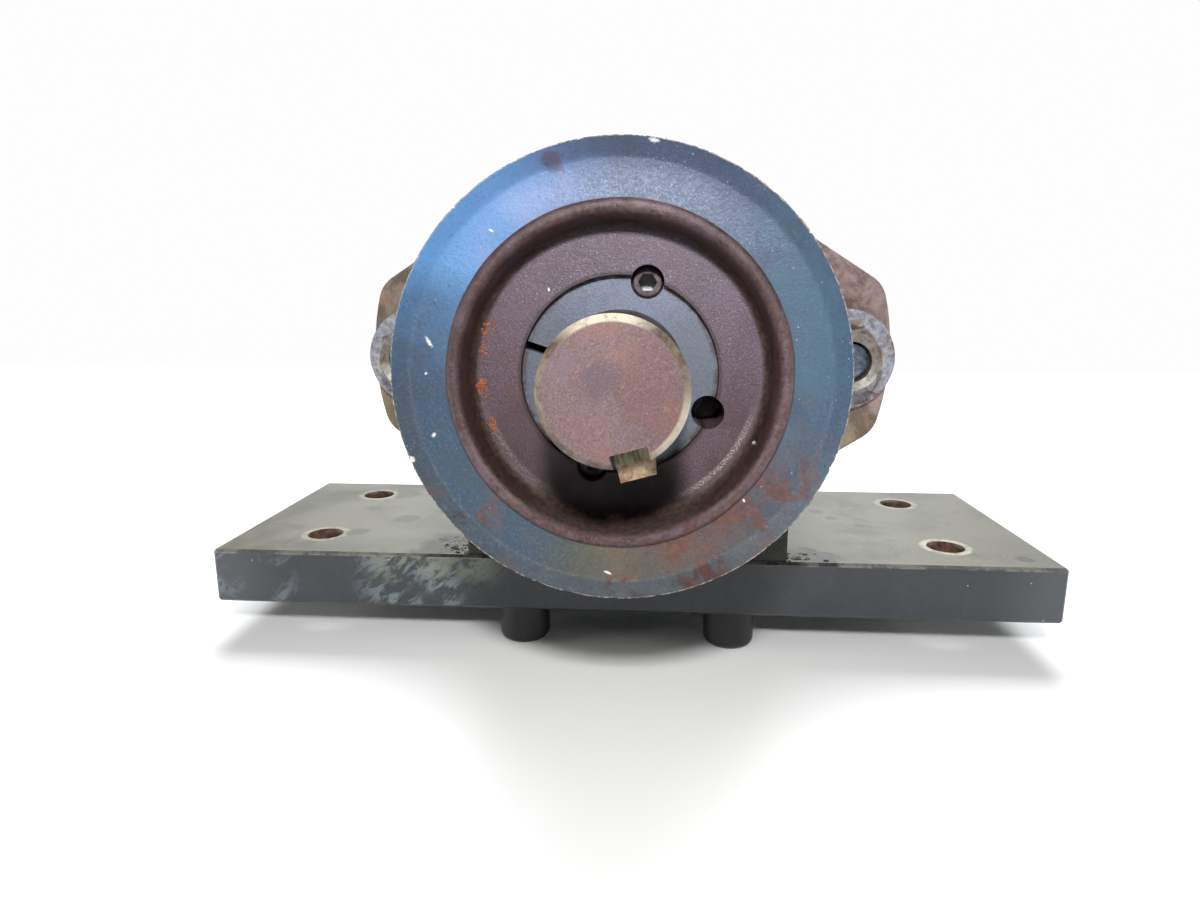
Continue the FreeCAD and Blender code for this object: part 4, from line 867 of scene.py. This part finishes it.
def rust_scale(material):
    """Flakes of orange rust on the recess's left side."""
    rng = random.Random(5)
    made = bmesh.new()
    web = ring_high.y + web_behind_ring
    patches = ((160, 2.2, 22), (185, 1.5, 20), (183, 0.9, 8), (201, 1.8, 20), (170, 1.2, 5))
    for angle, spread, count in patches:
        for _ in range(count):
            a = math.radians(rng.gauss(angle, spread))
            radius = rng.gauss(flake_radius, 0.00045)
            size = rng.uniform(0.00012, 0.00042)
            up_fillet = max(0.0, radius - web_edge)
            y = web - up_fillet * up_fillet / (2 * fillet_radius)
            place = Vector((radius * math.cos(a), y, axis_z + radius * math.sin(a)))
            crumb(made, place, size, (1.1, 0.5, 1.3), rng)
    obj = link_mesh("rust_scale", made)
    coat(obj, material)
    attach(obj, "shaft")


# Stage, light and camera
def lit_floor():
    """A plain pale floor at the lowest point of the part."""
    mesh = bpy.data.meshes.new("floor")
    corners = [(-floor_side, floor_front), (floor_side, floor_front), (floor_side, floor_back),
               (-floor_side, floor_back)]
    mesh.from_pydata([(x, y, floor_z) for x, y in corners], [], [(0, 1, 2, 3)])
    floor = bpy.data.objects.new("floor", mesh)
    bpy.context.scene.collection.objects.link(floor)
    s = Shade("floor_white", rough=0.5, specular=0.3)
    pale = s.mix(s.noise(3, 3), (0.90, 0.92, 0.95, 1.0), (0.94, 0.95, 0.96, 1.0))
    s.put(s.bsdf.inputs["Base Color"], pale)
    coat(floor, s.material)


def sky():
    """Plain white where the camera sees past the floor, and a faint cool light on the part."""
    world = bpy.data.worlds.new("pale_sky")
    bpy.context.scene.world = world
    world.use_nodes = True
    tree = world.node_tree
    tree.nodes.clear()
    path = tree.nodes.new("ShaderNodeLightPath")
    lamp = tree.nodes.new("ShaderNodeBackground")
    lamp.inputs["Color"].default_value = (0.93, 0.97, 1.0, 1.0)
    lamp.inputs["Strength"].default_value = 0.08
    seen = tree.nodes.new("ShaderNodeBackground")
    seen.inputs["Color"].default_value = (0.985, 0.985, 0.985, 1.0)
    blend = tree.nodes.new("ShaderNodeMixShader")
    out = tree.nodes.new("ShaderNodeOutputWorld")
    tree.links.new(path.outputs["Is Camera Ray"], blend.inputs[0])
    tree.links.new(lamp.outputs[0], blend.inputs[1])
    tree.links.new(seen.outputs[0], blend.inputs[2])
    tree.links.new(blend.outputs[0], out.inputs["Surface"])


def area_light(name, place, target, size, power, colour):
    """A square lamp at a place, turned to face its target."""
    data = bpy.data.lights.new(name, "AREA")
    data.size = size
    data.energy = power
    data.color = colour
    lamp = bpy.data.objects.new(name, data)
    lamp.location = place
    lamp.rotation_mode = "QUATERNION"
    lamp.rotation_quaternion = (Vector(target) - Vector(place)).to_track_quat("-Z", "Y")
    bpy.context.scene.collection.objects.link(lamp)


def camera():
    """The photograph's camera, aimed by its yaw and pitch."""
    data = bpy.data.cameras.new("camera")
    data.lens = camera_lens
    data.sensor_width = 36.0
    data.clip_start = 0.005
    eye = bpy.data.objects.new("camera", data)
    yaw, pitch = math.radians(camera_yaw), math.radians(camera_pitch)
    ahead = Vector((math.sin(yaw) * math.cos(pitch), math.cos(yaw) * math.cos(pitch),
                    -math.sin(pitch)))
    right = Vector((math.cos(yaw), -math.sin(yaw), 0.0))
    top = right.cross(ahead)
    turn = Matrix((right, top, -ahead)).transposed()
    eye.matrix_world = Matrix.Translation(camera_place) @ turn.to_4x4()
    bpy.context.scene.collection.objects.link(eye)
    bpy.context.scene.camera = eye


dress_nodes()
lit_floor()
sky()
for lamp_name, settings in lamps.items():
    area_light(lamp_name, *settings)
camera()
bpy.context.scene.view_settings.view_transform = "Standard"
